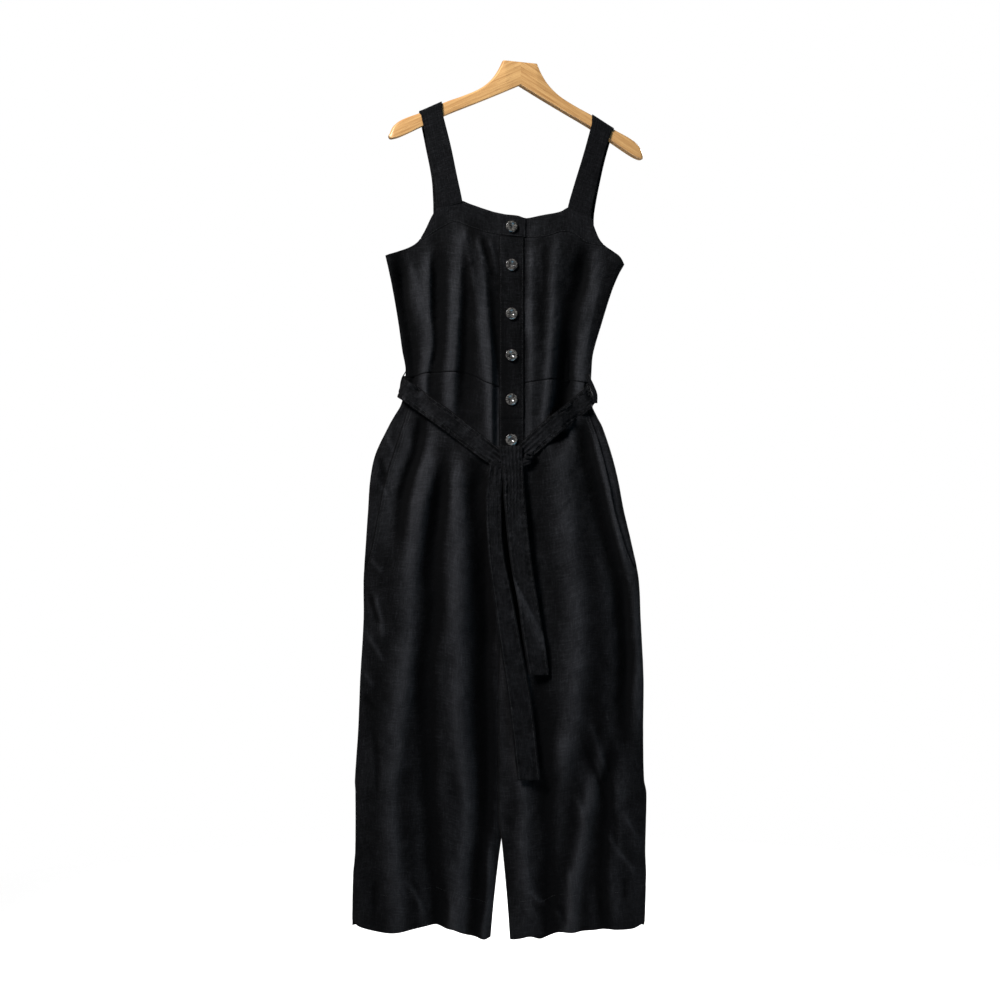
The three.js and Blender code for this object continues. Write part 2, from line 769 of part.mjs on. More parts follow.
function makePlacket() {
  return panel({
    columns: 4,
    rows: 14,
    place: (u, v) => {
      const x = mix(placketLeft, placketRight, u);
      return { x, z: mix(yokeSeam(x) - seamGap / 2, placketEnd, v) };
    },
    point: (x, z, extra) => frontPoint(x < centreFront ? 'left' : 'right', x, z, extra),
    lift: () => wall + seamGap,
  });
}

// A flat back, a rounded rim and a dished face with a small boss, turned about the axis
function makeButton() {
  const radius = buttonDiameter / 2;
  const profile = [
    [0, 0], [radius - 1.6, 0], [radius, 1.4], [radius - 0.4, 2.9], [radius - 1.6, 3.6],
    [radius - 3, 2.9], [radius - 5.2, 2.3], [0, 2.1],
  ];
  const geometry = new THREE.LatheGeometry(profile.map(([r, h]) => new THREE.Vector2(r, h)), 16);
  return geometry.rotateX(Math.PI);
}

function placeButton(mesh, z) {
  const reach = buttonDiameter / 2;
  const yaw = radians(read(turn, 'z', z, 'degrees'));
  const lift = 2 * wall + seamGap;
  let out = Infinity;
  for (const across of [-reach, 0, reach]) {
    for (const up of [-reach, 0, reach]) {
      const x = buttonX + across * Math.cos(yaw);
      const p = frontPoint(x < centreFront ? 'left' : 'right', x, z + up, lift);
      out = Math.min(out, p.y - (x - buttonX) * Math.tan(yaw));
    }
  }
  mesh.position.set(buttonX, out - seamGap, z);
  mesh.rotation.set(0, 0, yaw);
}

// Belt

function makeBeltBand() {
  const middle = (placketLeft + placketRight) / 2;
  const points = beltPath.map(({ x, z, side: where }) => {
    const side = x < centreFront ? 'left' : 'right';
    const y = shear(x, z);
    const overPlacket = (wall + seamGap) * (1 - ease(calm.from - 6, calm.to - 2, Math.abs(x - middle)));
    const clear = wall + 2 * seamGap + overPlacket;
    if (where === 'edge') return new THREE.Vector3(x, y, z);
    if (where === 'front') return new THREE.Vector3(x, y - bridgeDepth(frontDepth, side, x, z) - clear, z);
    return new THREE.Vector3(x, y + bridgeDepth(backDepth, side, x, z) + clear, z);
  });
  const curve = new THREE.CatmullRomCurve3(points, false, 'centripetal');
  const count = 54;
  const path = curve.getSpacedPoints(count);
  const up = new THREE.Vector3(0, 0, 1);
  const frames = path.map((_, k) => {
    const along = curve.getTangentAt(k / count);
    const outward = along.clone().cross(up).normalize();
    const across = outward.clone().cross(along).normalize();
    return { across, outward: outward.negate() };
  });
  return strip(path, frames, beltWidth / 2, wall);
}

function makeTail(rows, depth, sway) {
  const first = rows[0].z;
  const last = rows[rows.length - 1].z;
  return panel({
    columns: 3,
    rows: 13,
    place: (u, v) => {
      const z = mix(first, last, v);
      return { x: mix(read(rows, 'z', z, 'left'), read(rows, 'z', z, 'right'), u), z };
    },
    point: (x, z, lift) => {
      const down = (first - z) / (first - last);
      const middle = (read(rows, 'z', z, 'left') + read(rows, 'z', z, 'right')) / 2;
      const wave = sway * Math.sin(5 * down) + 0.05 * (x - middle) * Math.sin(4 * down);
      return new THREE.Vector3(x, shear(x, z) - depth - wave - lift, z);
    },
    thickness: wall + 0.4,
  });
}

// The knot: the short end folded down over the belt, gathered into narrow upright pleats
function makeKnot() {
  const back = frontDepth('right', knot.x, knot.z) + 3 * wall + 10 * seamGap;
  const half = { x: knot.width / 2, z: knot.height / 2 };
  const face = (front) => {
    const grid = [];
    for (let i = 0; i <= 14; i += 1) {
      const line = [];
      for (let j = 0; j <= 8; j += 1) {
        const u = (2 * i) / 14 - 1;
        const v = (2 * j) / 8 - 1;
        const crown = (1 - u ** 4) * (1 - v ** 4);
        const pleat = 0.8 * Math.cos(7 * Math.PI * u) * (1 - v * v);
        const depth = front ? 4 + (knot.depth - 5) * crown + pleat * crown : 0;
        const x = knot.x + half.x * u;
        const z = knot.z + half.z * v;
        line.push(new THREE.Vector3(x, shear(x, z) - back - depth, z));
      }
      grid.push(line);
    }
    return grid;
  };
  return slab(face(false), face(true));
}

// A narrow keeper at the side seam, standing off enough for the belt to pass
function makeLoop(side) {
  const sign = side === 'left' ? -1 : 1;
  const path = loopPath.map((row) => new THREE.Vector3(row[side], shear(row[side], row.z), row.z));
  const curve = new THREE.CatmullRomCurve3(path);
  const count = 12;
  const frames = [];
  for (let k = 0; k <= count; k += 1) {
    const along = curve.getTangentAt(k / count);
    const across = new THREE.Vector3(0, 1, 0);
    frames.push({ across, outward: across.clone().cross(along).normalize().multiplyScalar(sign) });
  }
  return strip(curve.getSpacedPoints(count), frames, 3, 1.2);
}

// Assembly

const linen = (name) => new THREE.MeshStandardMaterial({ name, color: 0x17181b, roughness: 0.9, metalness: 0 });
const wood = new THREE.MeshStandardMaterial({ name: 'light wood', color: 0xd8a765, roughness: 0.5, metalness: 0 });
const glossy = new THREE.MeshStandardMaterial({ name: 'button', color: 0x121213, roughness: 0.2, metalness: 0 });

const jumpsuit = new THREE.Group();

function add(name, geometry, material) {
  const mesh = new THREE.Mesh(geometry, material);
  mesh.name = name;
  jumpsuit.add(mesh);
  return mesh;
}

add('hanger', makeHanger(), wood).rotation.z = radians(hanger.yaw);
add('strap_left', makeStrap('left', strapLeft), linen('strap'));
add('strap_right', makeStrap('right', strapRight), linen('strap'));
add('yoke_left', makeYokeLeft(), linen('yoke'));
add('yoke_right', makeYokeRight(), linen('yoke'));
add('yoke_back', makeYokeBack(), linen('yoke'));
for (const side of ['left', 'right']) {
  add(`bodice_front_${side}`, makeBodiceFront(side), linen('bodice'));
  add(`trouser_front_${side}`, makeTrouserFront(side), linen('trouser'));
  add(`trouser_back_${side}`, makeTrouserBack(side), linen('trouser'));
  add(`pocket_side_${side}`, makePocketSide(side), linen('pocket'));
  add(`belt_loop_${side}`, makeLoop(side), linen('belt'));
}
add('bodice_back', makeBodiceBack(), linen('bodice'));
add('placket', makePlacket(), linen('placket'));
add('belt_band', makeBeltBand(), linen('belt'));
add('belt_knot', makeKnot(), linen('belt'));
add('belt_tail_long', makeTail(tailLong, tailDepth.long, 1), linen('belt'));
add('belt_tail_short', makeTail(tailShort, tailDepth.short, -1), linen('belt'));
buttonHeights.forEach((z, k) => placeButton(add(`button_${k + 1}`, makeButton(), glossy), z));

export default jumpsuit;
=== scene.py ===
import math

import bpy
import numpy as np
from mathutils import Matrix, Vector

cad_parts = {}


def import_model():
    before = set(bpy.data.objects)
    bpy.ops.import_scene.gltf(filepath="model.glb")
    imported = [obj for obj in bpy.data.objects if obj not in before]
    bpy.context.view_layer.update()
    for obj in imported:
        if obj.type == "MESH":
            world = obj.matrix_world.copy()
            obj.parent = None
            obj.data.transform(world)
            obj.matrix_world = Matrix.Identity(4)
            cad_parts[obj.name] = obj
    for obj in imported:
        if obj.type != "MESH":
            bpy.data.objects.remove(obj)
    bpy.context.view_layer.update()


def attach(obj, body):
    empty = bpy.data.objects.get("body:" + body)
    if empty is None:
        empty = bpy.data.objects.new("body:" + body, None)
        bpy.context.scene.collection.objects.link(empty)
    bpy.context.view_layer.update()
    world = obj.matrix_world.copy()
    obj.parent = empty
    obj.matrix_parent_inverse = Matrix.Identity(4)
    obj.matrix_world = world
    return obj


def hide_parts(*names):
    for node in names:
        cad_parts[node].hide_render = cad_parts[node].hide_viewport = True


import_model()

# A black linen jumpsuit on a wooden hanger. Tables are in millimetres, meshes in metres.
# The garment's front faces -Y and the viewer's left is -X, as in the frame.

mm = 0.001
print("frame loaded")


# Numbers and tables

def ease(start, end, at):
    # smooth step from 0 at start to 1 at end
    t = np.clip((at - start) / (end - start), 0, 1)
    return t * t * (3 - 2 * t)


def mix(a, b, t):
    return a + (b - a) * t


def curve(table, by, name, at):
    # smooth curve through a table's rows: a cubic on each span, with the slopes of its neighbours
    x, y = np.array(table[by], float), np.array(table[name], float)
    if x[0] > x[-1]:
        x, y = x[::-1], y[::-1]
    slope = np.gradient(y, x) if len(x) < 3 else np.concatenate((
        [(y[1] - y[0]) / (x[1] - x[0])],
        (y[2:] - y[:-2]) / (x[2:] - x[:-2]),
        [(y[-1] - y[-2]) / (x[-1] - x[-2])]))
    at = np.clip(at, x[0], x[-1])
    k = np.clip(np.searchsorted(x, at, side="right") - 1, 0, len(x) - 2)
    span, rise = x[k + 1] - x[k], y[k + 1] - y[k]
    t = (at - x[k]) / span
    swing = (slope[k] * (1 - t) - slope[k + 1] * t) * span - rise * (1 - 2 * t)
    return y[k] + rise * t + swing * t * (1 - t)


def wander(x, z, size, seed):
    # smooth noise from -1 to 1 on a square lattice of the given size, blended with a smooth step
    lattice = np.random.default_rng(seed).uniform(-1, 1, (128, 128))
    a, b = x / size, z / size
    i, j = np.floor(a).astype(int), np.floor(b).astype(int)
    s, t = a - i, b - j
    s, t = s * s * (3 - 2 * s), t * t * (3 - 2 * t)
    i, j = i % 127, j % 127
    low = mix(lattice[i, j], lattice[i + 1, j], s)
    high = mix(lattice[i, j + 1], lattice[i + 1, j + 1], s)
    return mix(low, high, t)


# The garment's cut

cloth = dict(
    wall=1.8,  # the frame's wall, front to back
    thickness=1.1,  # the modelled cloth
    gap=0.3,
    tuck=3,  # how far the trousers and bodice run on under the piece above
    tuckDepth=1.35,  # how far they lie under it
    centreTuck=2.4,  # how far the left trousers run on under the right ones
    centreFront=-26,
    innerSeams=-31,  # where the legs part
    yokeLeft=-159.5,
    yokeLeftEnd=9.5,  # the left yoke crosses over the right one
    yokeRightStart=-25.8,
    yokeRight=139.5,
    yokeBackLeft=-156,
    yokeBackRight=143,
    placketLeft=-34,
    placketRight=7,
    placketEnd=-668,
    placketStitch=3,  # from its edges to its stitch rows
    crotch=-885,
    legOverlap=4,
    legShift=5,
    underarm=-327,
    backNeck=-263,
    backYoke=-303,
    backWaist=-527,
    backHem=-1424,
    pocketEnd=-832,
    pocketTuck=14,  # how far the side piece reaches under the front
    pocketRun=9,
    hemHeight=62,
    hemBand=0.6,
    foldDepth=1.75,  # the drape's folds against the frame's plainer ones
    sectionPower=0.6,  # under 1 gives flatter faces and rounder sides
    # the next two set the painted shade in hollows and painted light on crests, partly real fading from
    # washing
    shadeAndWearHeight=13.5,  # fold height from the darkest hollow to the palest crest
    shadeAndWearCrumple=1.1,  # the share of the small crumpling in it
    rimRoll=0.8,  # how far a rim is turned in at a seam
)
placketMiddle = (cloth["placketLeft"] + cloth["placketRight"]) / 2
outline = dict(
    z=[-327, -345, -375, -430, -478, -508, -541, -565, -585, -600, -648, -690, -738, -796, -851,
       -920, -1018, -1100, -1183, -1205, -1300, -1340, -1440],
    left=[-217.5, -213.5, -207.5, -198.5, -192, -187, -189.5, -194.4, -206, -214.5, -237, -245.5, -249,
          -253, -256.5, -256.8, -262.5, -265.8, -271.3, -270.5, -271, -274.4, -276.5],
    right=[176.5, 166.5, 154, 136.5, 122.5, 119.5, 118.5, 120, 129, 137, 153, 163.5, 172.5, 186, 197,
           200.5, 205, 204.3, 205.7, 209.5, 207.6, 209, 206],
)
fullness = dict(
    z=[-240, -327, -430, -530, -640, -700, -800, -885, -1150, -1430],
    front=[22, 31, 30, 25, 31, 33, 31, 29, 27, 25],
    back=[9, 15, 16, 18, 24, 26, 25, 23, 21, 19],
    torso=[1, 1, 1, 1, 1, 0.92, 0.4, 0, 0, 0],
)
turn = dict(z=[-200, -320, -430, -560, -900, -1440], degrees=[20, 14, 8, 4, 1.5, 0])
innerLeg = dict(z=[-1250, -1280, -1316, -1382, -1445],
                left=[-26.5, -29.7, -34.6, -42, -47.6], right=[-35, -30, -26.3, -20.4, -16])
armholeLeft = dict(x=[-217.5, -194, -181, -169.5, -160.8, -151.5, -143.5, -135],
                   z=[-327, -319.8, -315.8, -309.8, -301.2, -285, -268, -253])
neckline = dict(x=[-92.5, -81, -48, -26, -3, 10, 34, 67, 79.5],
                z=[-238, -242.4, -252, -256.6, -258, -261, -255, -246, -238])
armholeRight = dict(x=[119.5, 126.5, 133.7, 143.8, 158.9, 170, 176.5],
                    z=[-251, -272.7, -288.7, -298.7, -307.6, -315.5, -327])
frontYoke = dict(x=[-160, -137, -118, -104, -81, -48, 9, 42, 66, 82, 95, 110, 140],
                 z=[-305, -290, -278, -273, -280, -289, -293, -290, -281, -279, -285, -295, -299.5])
backArmholeLeft = dict(x=[-217.5, -190, -170, -160, -150, -143, -140],
                       z=[-330, -325, -316, -306, -290, -275, -263])
backArmholeRight = dict(x=[125.5, 130, 137, 147, 161, 176.5], z=[-263, -280, -296, -305, -314, -330])
waist = dict(x=[-190, -154, -97, -81, -48, -26, 10, 66, 118],
             z=[-524, -516, -515, -518, -534, -538, -531, -524, -530])
hem = dict(x=[-276.5, -264, -220, -180, -142, -122, -106, -74, -56, -46, -13, 17, 35, 66, 115, 184, 207],
           z=[-1413, -1423, -1429, -1423.5, -1418.5, -1424.5, -1424.5, -1440, -1446, -1443, -1444,
              -1437, -1440, -1427, -1424.5, -1426, -1417])
pocket = dict(z=[-520, -567, -624, -692, -740, -795, -832],
              left=[-172, -182, -200, -221, -231, -242, -252.6],
              right=[107, 112, 131, 148, 158, 174, 189.5])


def waistLine(x):
    return curve(waist, "x", "z", x)


def hemLine(x):
    return curve(hem, "x", "z", x)


def yokeLine(x):
    return curve(frontYoke, "x", "z", x)


def pocketLine(side, z):
    return curve(pocket, "z", side, z)


def signOf(name):
    # the left lies towards -X and the front towards -Y
    return -1 if name in ("left", "front") else 1


# Main folds: height towards the outside, widths to the left and right of the line

def fold(height, before, after, x, z):
    return dict(height=height, before=before, after=after, x=x, z=z)


frontFolds = [
    fold(-9, 20, 15, [-196, -187, -174], [-335, -427, -520]),
    fold(6, 13, 7, [-148, -146, -150, -156], [-330, -427, -520, -570]),
    fold(8, 20, 11, [-96, -105, -110, -114], [-290, -427, -520, -600]),
    fold(8, 22, 9, [-68, -54, -44, -40], [-310, -427, -530, -645]),
    fold(5, 10, 17, [19, 17, 17, 20], [-300, -427, -560, -620]),
    fold(6, 12, 15, [65, 54, 46, 42], [-300, -380, -560, -610]),
    fold(-9, 17, 15, [112, 95, 85, 72, 66], [-315, -380, -445, -560, -620]),
    fold(-8, 12, 13, [-161, -167, -183, -195], [-590, -636, -686, -780]),
    fold(8, 30, 19, [-136, -157, -175, -190, -208, -195], [-640, -735, -833, -1046, -1211, -1420]),
    fold(-8, 17, 18, [-130, -137, -150, -141, -130], [-640, -850, -1080, -1310, -1420]),
    fold(9, 25, 22, [-104, -97, -91, -79, -87, -100], [-660, -883, -1110, -1211, -1310, -1420]),
    fold(-9, 20, 19, [-68, -60, -55, -53, -55, -63, -76], [-670, -790, -885, -1015, -1210, -1309, -1420]),
    fold(5, 9, 8, [-46, -50, -56], [-1290, -1390, -1430]),
    fold(10, 34, 30, [66, 76, 90, 92, 76], [-625, -751, -883, -1047, -1160]),
    fold(-9, 18, 14, [107, 132, 165, 176, 177], [-600, -719, -850, -960, -1100]),
    fold(6, 18, 16, [10, 5, 12], [-960, -1150, -1400]),
    fold(-4, 13, 13, [50, 48, 47], [-1090, -1250, -1430]),
    fold(7, 16, 15, [118, 98, 82], [-1180, -1300, -1430]),
    fold(-5, 12, 12, [150, 140, 135], [-1140, -1290, -1430]),
]
backFolds = [
    fold(6, 20, 13, [-120, -108, -100], [-330, -430, -560]),
    fold(-5, 14, 14, [-60, -55, -60], [-340, -450, -580]),
    fold(6, 14, 20, [30, 24, 20], [-330, -440, -570]),
    fold(-6, 13, 15, [92, 80, 70], [-340, -440, -560]),
    fold(8, 20, 26, [-165, -190, -200, -190], [-640, -860, -1150, -1420]),
    fold(-7, 16, 14, [-120, -135, -140, -132], [-660, -900, -1200, -1420]),
    fold(7, 16, 20, [-80, -85, -78, -90], [-700, -950, -1250, -1420]),
    fold(8, 22, 18, [60, 85, 70, 60], [-640, -900, -1200, -1420]),
    fold(-7, 15, 16, [110, 140, 130, 120], [-660, -950, -1200, -1420]),
    fold(6, 14, 14, [20, 25, 15], [-930, -1200, -1420]),
]


# Smaller creases, each a soft ridge or trough along its own line

def crease(height, width, x, z):
    return dict(height=height, width=width, x=x, z=z)


frontCreases = [
    # pulls from the left strap
    crease(5, 7.5, [-92, -85, -78, -66], [-270, -307, -355, -410]),
    crease(5, 7.5, [-73, -59, -44, -36], [-288, -325, -365, -420]),
    crease(3.5, 5, [-50, -42, -37], [-296, -324, -360]),
    crease(-4, 5, [-62, -50, -40], [-290, -330, -380]),
    crease(2.5, 8, [-178, -166, -160], [-332, -380, -440]),
    crease(-2, 8, [-196, -184, -178], [-350, -400, -470]),
    # bust darts
    crease(-1.7, 1.7, [-209, -192, -174], [-356, -358, -362]),
    crease(-1.7, 1.7, [160, 148, 136], [-349, -351, -355]),
    # the right front
    crease(2.5, 7, [137, 120, 106], [-345, -420, -500]),
    crease(1.8, 5, [30, 36, 34], [-300, -345, -400]),
    # left hip and pocket
    crease(3.4, 4, [-220, -211, -202], [-610, -630, -652]),
    crease(-4.6, 5, [-230, -224, -217], [-648, -672, -700]),
    crease(2.8, 3.5, [-229, -221, -214], [-700, -707, -719]),
    crease(-2.8, 4, [-236, -226, -220], [-676, -688, -704]),
    crease(0.7, 1.6, [-195, -165, -138], [-730, -731, -729]),
    crease(0.7, 1.8, [-48, -40, -32], [-733, -732, -734]),
    # left side, short diagonals
    crease(3.8, 5, [-247, -234, -221], [-817, -830, -846]),
    crease(4.6, 6, [-241, -227, -222], [-866, -917, -959]),
    crease(4.2, 5, [-251, -235, -218], [-940, -965, -992]),
    crease(-4.2, 5.5, [-246, -236, -228], [-868, -905, -930]),
    crease(3.2, 4.5, [-254, -245, -236], [-1004, -1019, -1032]),
    crease(-3.4, 5, [-256, -246, -234], [-1045, -1054, -1068]),
    crease(-3.2, 6, [-240, -232, -236], [-1090, -1150, -1220]),
    # left hem
    crease(4.2, 5, [-191, -175, -162, -157], [-1333, -1356, -1380, -1412]),
    crease(-3.6, 6, [-233, -237, -238], [-1340, -1364, -1412]),
    crease(1.6, 4, [-120, -112, -110], [-1350, -1385, -1418]),
    # right edge
    crease(2.4, 4.5, [163, 174, 188], [-838, -848, -862]),
    crease(5.5, 8, [112, 126, 142, 158, 171, 178], [-590, -630, -690, -755, -815, -870]),
    # right leg, falling diagonals
    crease(4.6, 7, [108, 122, 136, 152], [-1072, -1105, -1147, -1184]),
    crease(-4.6, 6, [107, 121, 134, 142], [-1118, -1158, -1190, -1214]),
    crease(3.8, 6, [88, 103, 117], [-1199, -1234, -1273]),
    crease(4.4, 6, [132, 156, 180, 196], [-1240, -1289, -1319, -1338]),
    crease(3.4, 5, [169, 183, 198], [-1233, -1257, -1283]),
    crease(-3.5, 7, [155, 158, 156], [-1226, -1266, -1310]),
    # right hem
    crease(4, 5, [13, 33, 57, 72], [-1359, -1375, -1390, -1410]),
    crease(3.6, 5, [79, 84, 89], [-1313, -1356, -1418]),
    crease(-3, 5, [65, 71, 76], [-1378, -1396, -1418]),
    crease(-3.5, 8, [138, 136, 137], [-1346, -1380, -1420]),
    crease(-2.6, 6, [174, 173, 175], [-1337, -1362, -1390]),
]
backCreases = [
    crease(2.6, 7, [-120, -100, -84], [-330, -380, -440]),
    crease(2.4, 7, [100, 84, 70], [-330, -385, -440]),
    crease(-2.4, 8, [-20, -24, -16], [-320, -400, -480]),
    crease(3, 7, [-60, -30, 0], [-600, -640, -700]),
    crease(2.6, 7, [60, 34, -6], [-600, -650, -720]),
    crease(-3, 8, [-90, -70, -46], [-760, -810, -868]),
    crease(-3, 8, [50, 22, -10], [-770, -820, -870]),
    crease(2.6, 6, [-150, -120, -96], [-1000, -1040, -1100]),
    crease(2.8, 7, [140, 110, 90], [-1010, -1080, -1130]),
    crease(-2.4, 6, [-220, -196, -180], [-1180, -1220, -1270]),
    crease(2.6, 6, [170, 150, 120], [-1240, -1300, -1330]),
    crease(2.6, 6, [-90, -110, -124], [-1290, -1350, -1410]),
    crease(-2.8, 7, [60, 72, 78], [-1300, -1350, -1410]),
]


def sideSeam(side, z):
    return curve(outline, "z", side, np.minimum(z, cloth["underarm"]))


def middleSeam(side, z):
    # centre front down to the crotch, then the inner leg
    upper = mix(cloth["centreFront"], cloth["innerSeams"], ease(-640, cloth["crotch"], z))
    passing = -signOf(side) * cloth["legOverlap"]
    closed = cloth["innerSeams"] + passing * ease(cloth["crotch"] - 50, cloth["crotch"] - 150, z)
    lower = mix(closed, curve(innerLeg, "z", side, z), ease(-1200, -1250, z))
    return np.where(z > cloth["crotch"], upper, lower)


def share(side, x, z):
    # 0 at the side seam, 1 at the middle
    start = sideSeam(side, z)
    return np.clip((x - start) / (middleSeam(side, z) - start), 0, 1)


def seamPlane(side, x, z):
    # the right leg hangs a little in front of the left one at the inner seams
    shift = -signOf(side) * cloth["legShift"]
    return shift * share(side, x, z) ** 2 * ease(cloth["crotch"], cloth["crotch"] - 80, z)


def swell(side, x, z):
    # lens section: sin(pi t) for a leg and sin(pi t / 2) for half a torso, mixed by height
    t, torso = share(side, x, z), np.clip(curve(fullness, "z", "torso", z), 0, 1)
    power = cloth["sectionPower"]
    leg, body = np.sin(np.pi * t).clip(0) ** power, np.sin(np.pi * t / 2).clip(0) ** power
    outer, inner = ease(0, 0.12, t), ease(0, 0.12, 1 - t)
    return mix(leg, body, torso), mix(outer * inner, outer, torso)


def foldHeight(folds, x, z):
    # each fold is height * exp(-(distance / width)^2), faded at its ends unless it runs out at the hem,
    # with a little wandering in place and height
    total = np.zeros(np.broadcast(x, z).shape)
    for index, fold in enumerate(folds):
        top, end = fold["z"][0], fold["z"][-1]
        fade = ease(top + 35, top - 35, z) * (1 if end < -1400 else ease(end - 45, end + 45, z))
        offset = x - curve(fold, "z", "x", z) - 3.5 * wander(z + 700 * index, 0 * z, 58, 71)
        width = np.where(offset < 0, fold["before"], fold["after"])
        uneven = 1 + 0.3 * wander(z + 700 * index, 0 * z, 90, 72)
        total += fold["height"] * fade * uneven * np.exp(-(offset / width) ** 2)
    return total * cloth["foldDepth"]


def creaseHeight(creases, x, z):
    # distance to a smooth line through the points; sharper at the crest than the main folds
    total = np.zeros(np.broadcast(x, z).shape)
    for crease in creases:
        t = np.linspace(0, 1, len(crease["x"]))
        line = dict(t=t, x=crease["x"], z=crease["z"])
        steps = np.linspace(0, 1, 9)
        px, pz = curve(line, "t", "x", steps), curve(line, "t", "z", steps)
        reach = 4 * crease["width"]
        near = ((x > px.min() - reach) & (x < px.max() + reach)
                & (z > pz.min() - reach) & (z < pz.max() + reach))
        if not near.any():
            continue
        ax, az = x[near], z[near]
        best, along = np.full(ax.shape, 1e9), np.zeros(ax.shape)
        for k in range(8):
            dx, dz = px[k + 1] - px[k], pz[k + 1] - pz[k]
            s = np.clip(((ax - px[k]) * dx + (az - pz[k]) * dz) / (dx * dx + dz * dz), 0, 1)
            away = np.hypot(ax - px[k] - s * dx, az - pz[k] - s * dz)
            closer = away < best
            best, along = np.where(closer, away, best), np.where(closer, (k + s) / 8, along)
        fade = ease(0, 0.25, along) * ease(1, 0.7, along)
        shape = np.exp(-(best / crease["width"]) ** 1.6)
        total[near] += crease["height"] * fade * shape
    return total


def placketCalm(x, z):
    # the main folds die away at the placket
    return mix(1, ease(22, 34, np.abs(x - placketMiddle)), ease(-720, -690, z))


def crumple(x, z, seed):
    # small unevenness of washed linen
    slanted = np.abs(wander(x + 0.6 * z + 900, 0.5 * z - 0.3 * x, 27, seed + 3))
    return (1.3 * wander(x, 0.45 * z, 34, seed) + 0.75 * wander(x, 0.7 * z, 15, seed + 1)
            + 0.33 * wander(x, z, 6.5, seed + 2) - 0.7 * np.exp(-(slanted / 0.15) ** 2))


def seamWaves(away, along, seed, height=0.7, reach=8):
    # short waves that run into a seam and die away from it
    return height * np.exp(-(away / reach) ** 2) * wander(along, 0.2 * away, 7.5, seed)


def hemBand(x, z, line):
    # the turned hem is thicker up to its stitching, where it is drawn in
    step = cloth["hemBand"] * (1 - ease(line - 1.5, line + 1.5, z))
    return step - 0.5 * np.exp(-((z - line) / 1.4) ** 2) + seamWaves(z - line, x, 51, 0.8, 13)


def frontSeams(side, x, z):
    waistAway, yokeAway = z - waistLine(x), z - yokeLine(x)
    total = seamWaves(waistAway, x, 41, 0.6) + seamWaves(yokeAway, x, 42, 0.5)
    total += hemBand(x, z, hemLine(x) + cloth["hemHeight"])
    total += seamWaves(x - sideSeam(side, z), z, 43, 0.7, 7)
    for edge in (cloth["placketLeft"] - 1, cloth["placketRight"] + 1):
        total += seamWaves(x - edge, z, 44, 0.45, 6) * ease(cloth["placketEnd"] - 20, cloth["placketEnd"], z)
    pocketAway = x - pocketLine(side, z)
    return total + seamWaves(pocketAway, z, 45, 0.8, 7) * ease(-850, -820, z) * ease(-520, -540, z)


def frontDepth(side, x, z, fine=True):
    bulge, edge = swell(side, x, z)
    calm = placketCalm(x, z)
    depth = curve(fullness, "z", "front", z) * bulge + foldHeight(frontFolds, x, z) * edge * calm
    if fine:
        small = creaseHeight(frontCreases, x, z) + crumple(x, z, 11)
        depth = depth + small * np.minimum(edge + 0.15, 1) * mix(0.25, 1, calm) + frontSeams(side, x, z)
    return depth


def backDepth(side, x, z, fine=True):
    bulge, edge = swell(side, x, z)
    depth = curve(fullness, "z", "back", z) * bulge + foldHeight(backFolds, x, z) * edge
    if fine:
        small = creaseHeight(backCreases, x, z) + crumple(x, z, 31)
        depth = depth + small * np.minimum(edge + 0.15, 1)
        depth = depth + hemBand(x, z, cloth["backHem"] + cloth["hemHeight"])
        depth = depth + seamWaves(z - cloth["backWaist"], x, 61, 0.6)
        depth = depth + seamWaves(z - cloth["backYoke"], x, 62, 0.4)
        depth = depth + seamWaves(x - sideSeam(side, z), z, 63, 0.7, 7)
    return depth


def shear(x, z):
    # the garment's turn with the hanger: x * tan(turn), less towards the hem
    return x * np.tan(np.radians(curve(turn, "z", "degrees", z)))


def surface(face, x, z, lift=0.0, side=None):
    # y of a face at x, z: the seam's plane plus the turn plus or minus the depth; lift is how far
    # outside the frame's inner wall face
    x, z = np.broadcast_arrays(np.asarray(x, float), np.asarray(z, float))
    depthOf = frontDepth if face == "front" else backDepth
    answer = np.zeros(x.shape)
    for name in ("left", "right"):
        here = ((x < cloth["centreFront"]) == (name == "left")) if side is None else (side == name)
        if np.any(here):
            depth = cloth["gap"] + depthOf(name, x, z) + lift
            y = seamPlane(name, x, z) + shear(x, z) + signOf(face) * depth
            answer = np.where(here, y, answer)
    return answer


def frontTop(x):
    # armhole, neckline and armhole, with a straight edge between them under each strap
    ends = [armholeLeft["x"][-1], neckline["x"][0], neckline["x"][-1], armholeRight["x"][0]]
    heights = [armholeLeft["z"][-1], neckline["z"][0], neckline["z"][-1], armholeRight["z"][0]]
    left, right = curve(armholeLeft, "x", "z", x), curve(armholeRight, "x", "z", x)
    inNeck = (x >= ends[1]) & (x <= ends[2])
    middle = np.where(inNeck, curve(neckline, "x", "z", x), np.interp(x, ends, heights))
    return np.where(x < ends[0], left, np.where(x > ends[3], right, middle))


def backTop(x):
    left, right = curve(backArmholeLeft, "x", "z", x), curve(backArmholeRight, "x", "z", x)
    level = np.where(x > backArmholeRight["x"][0], right, cloth["backNeck"])
    return np.where(x < backArmholeLeft["x"][-1], left, level)


# Meshes

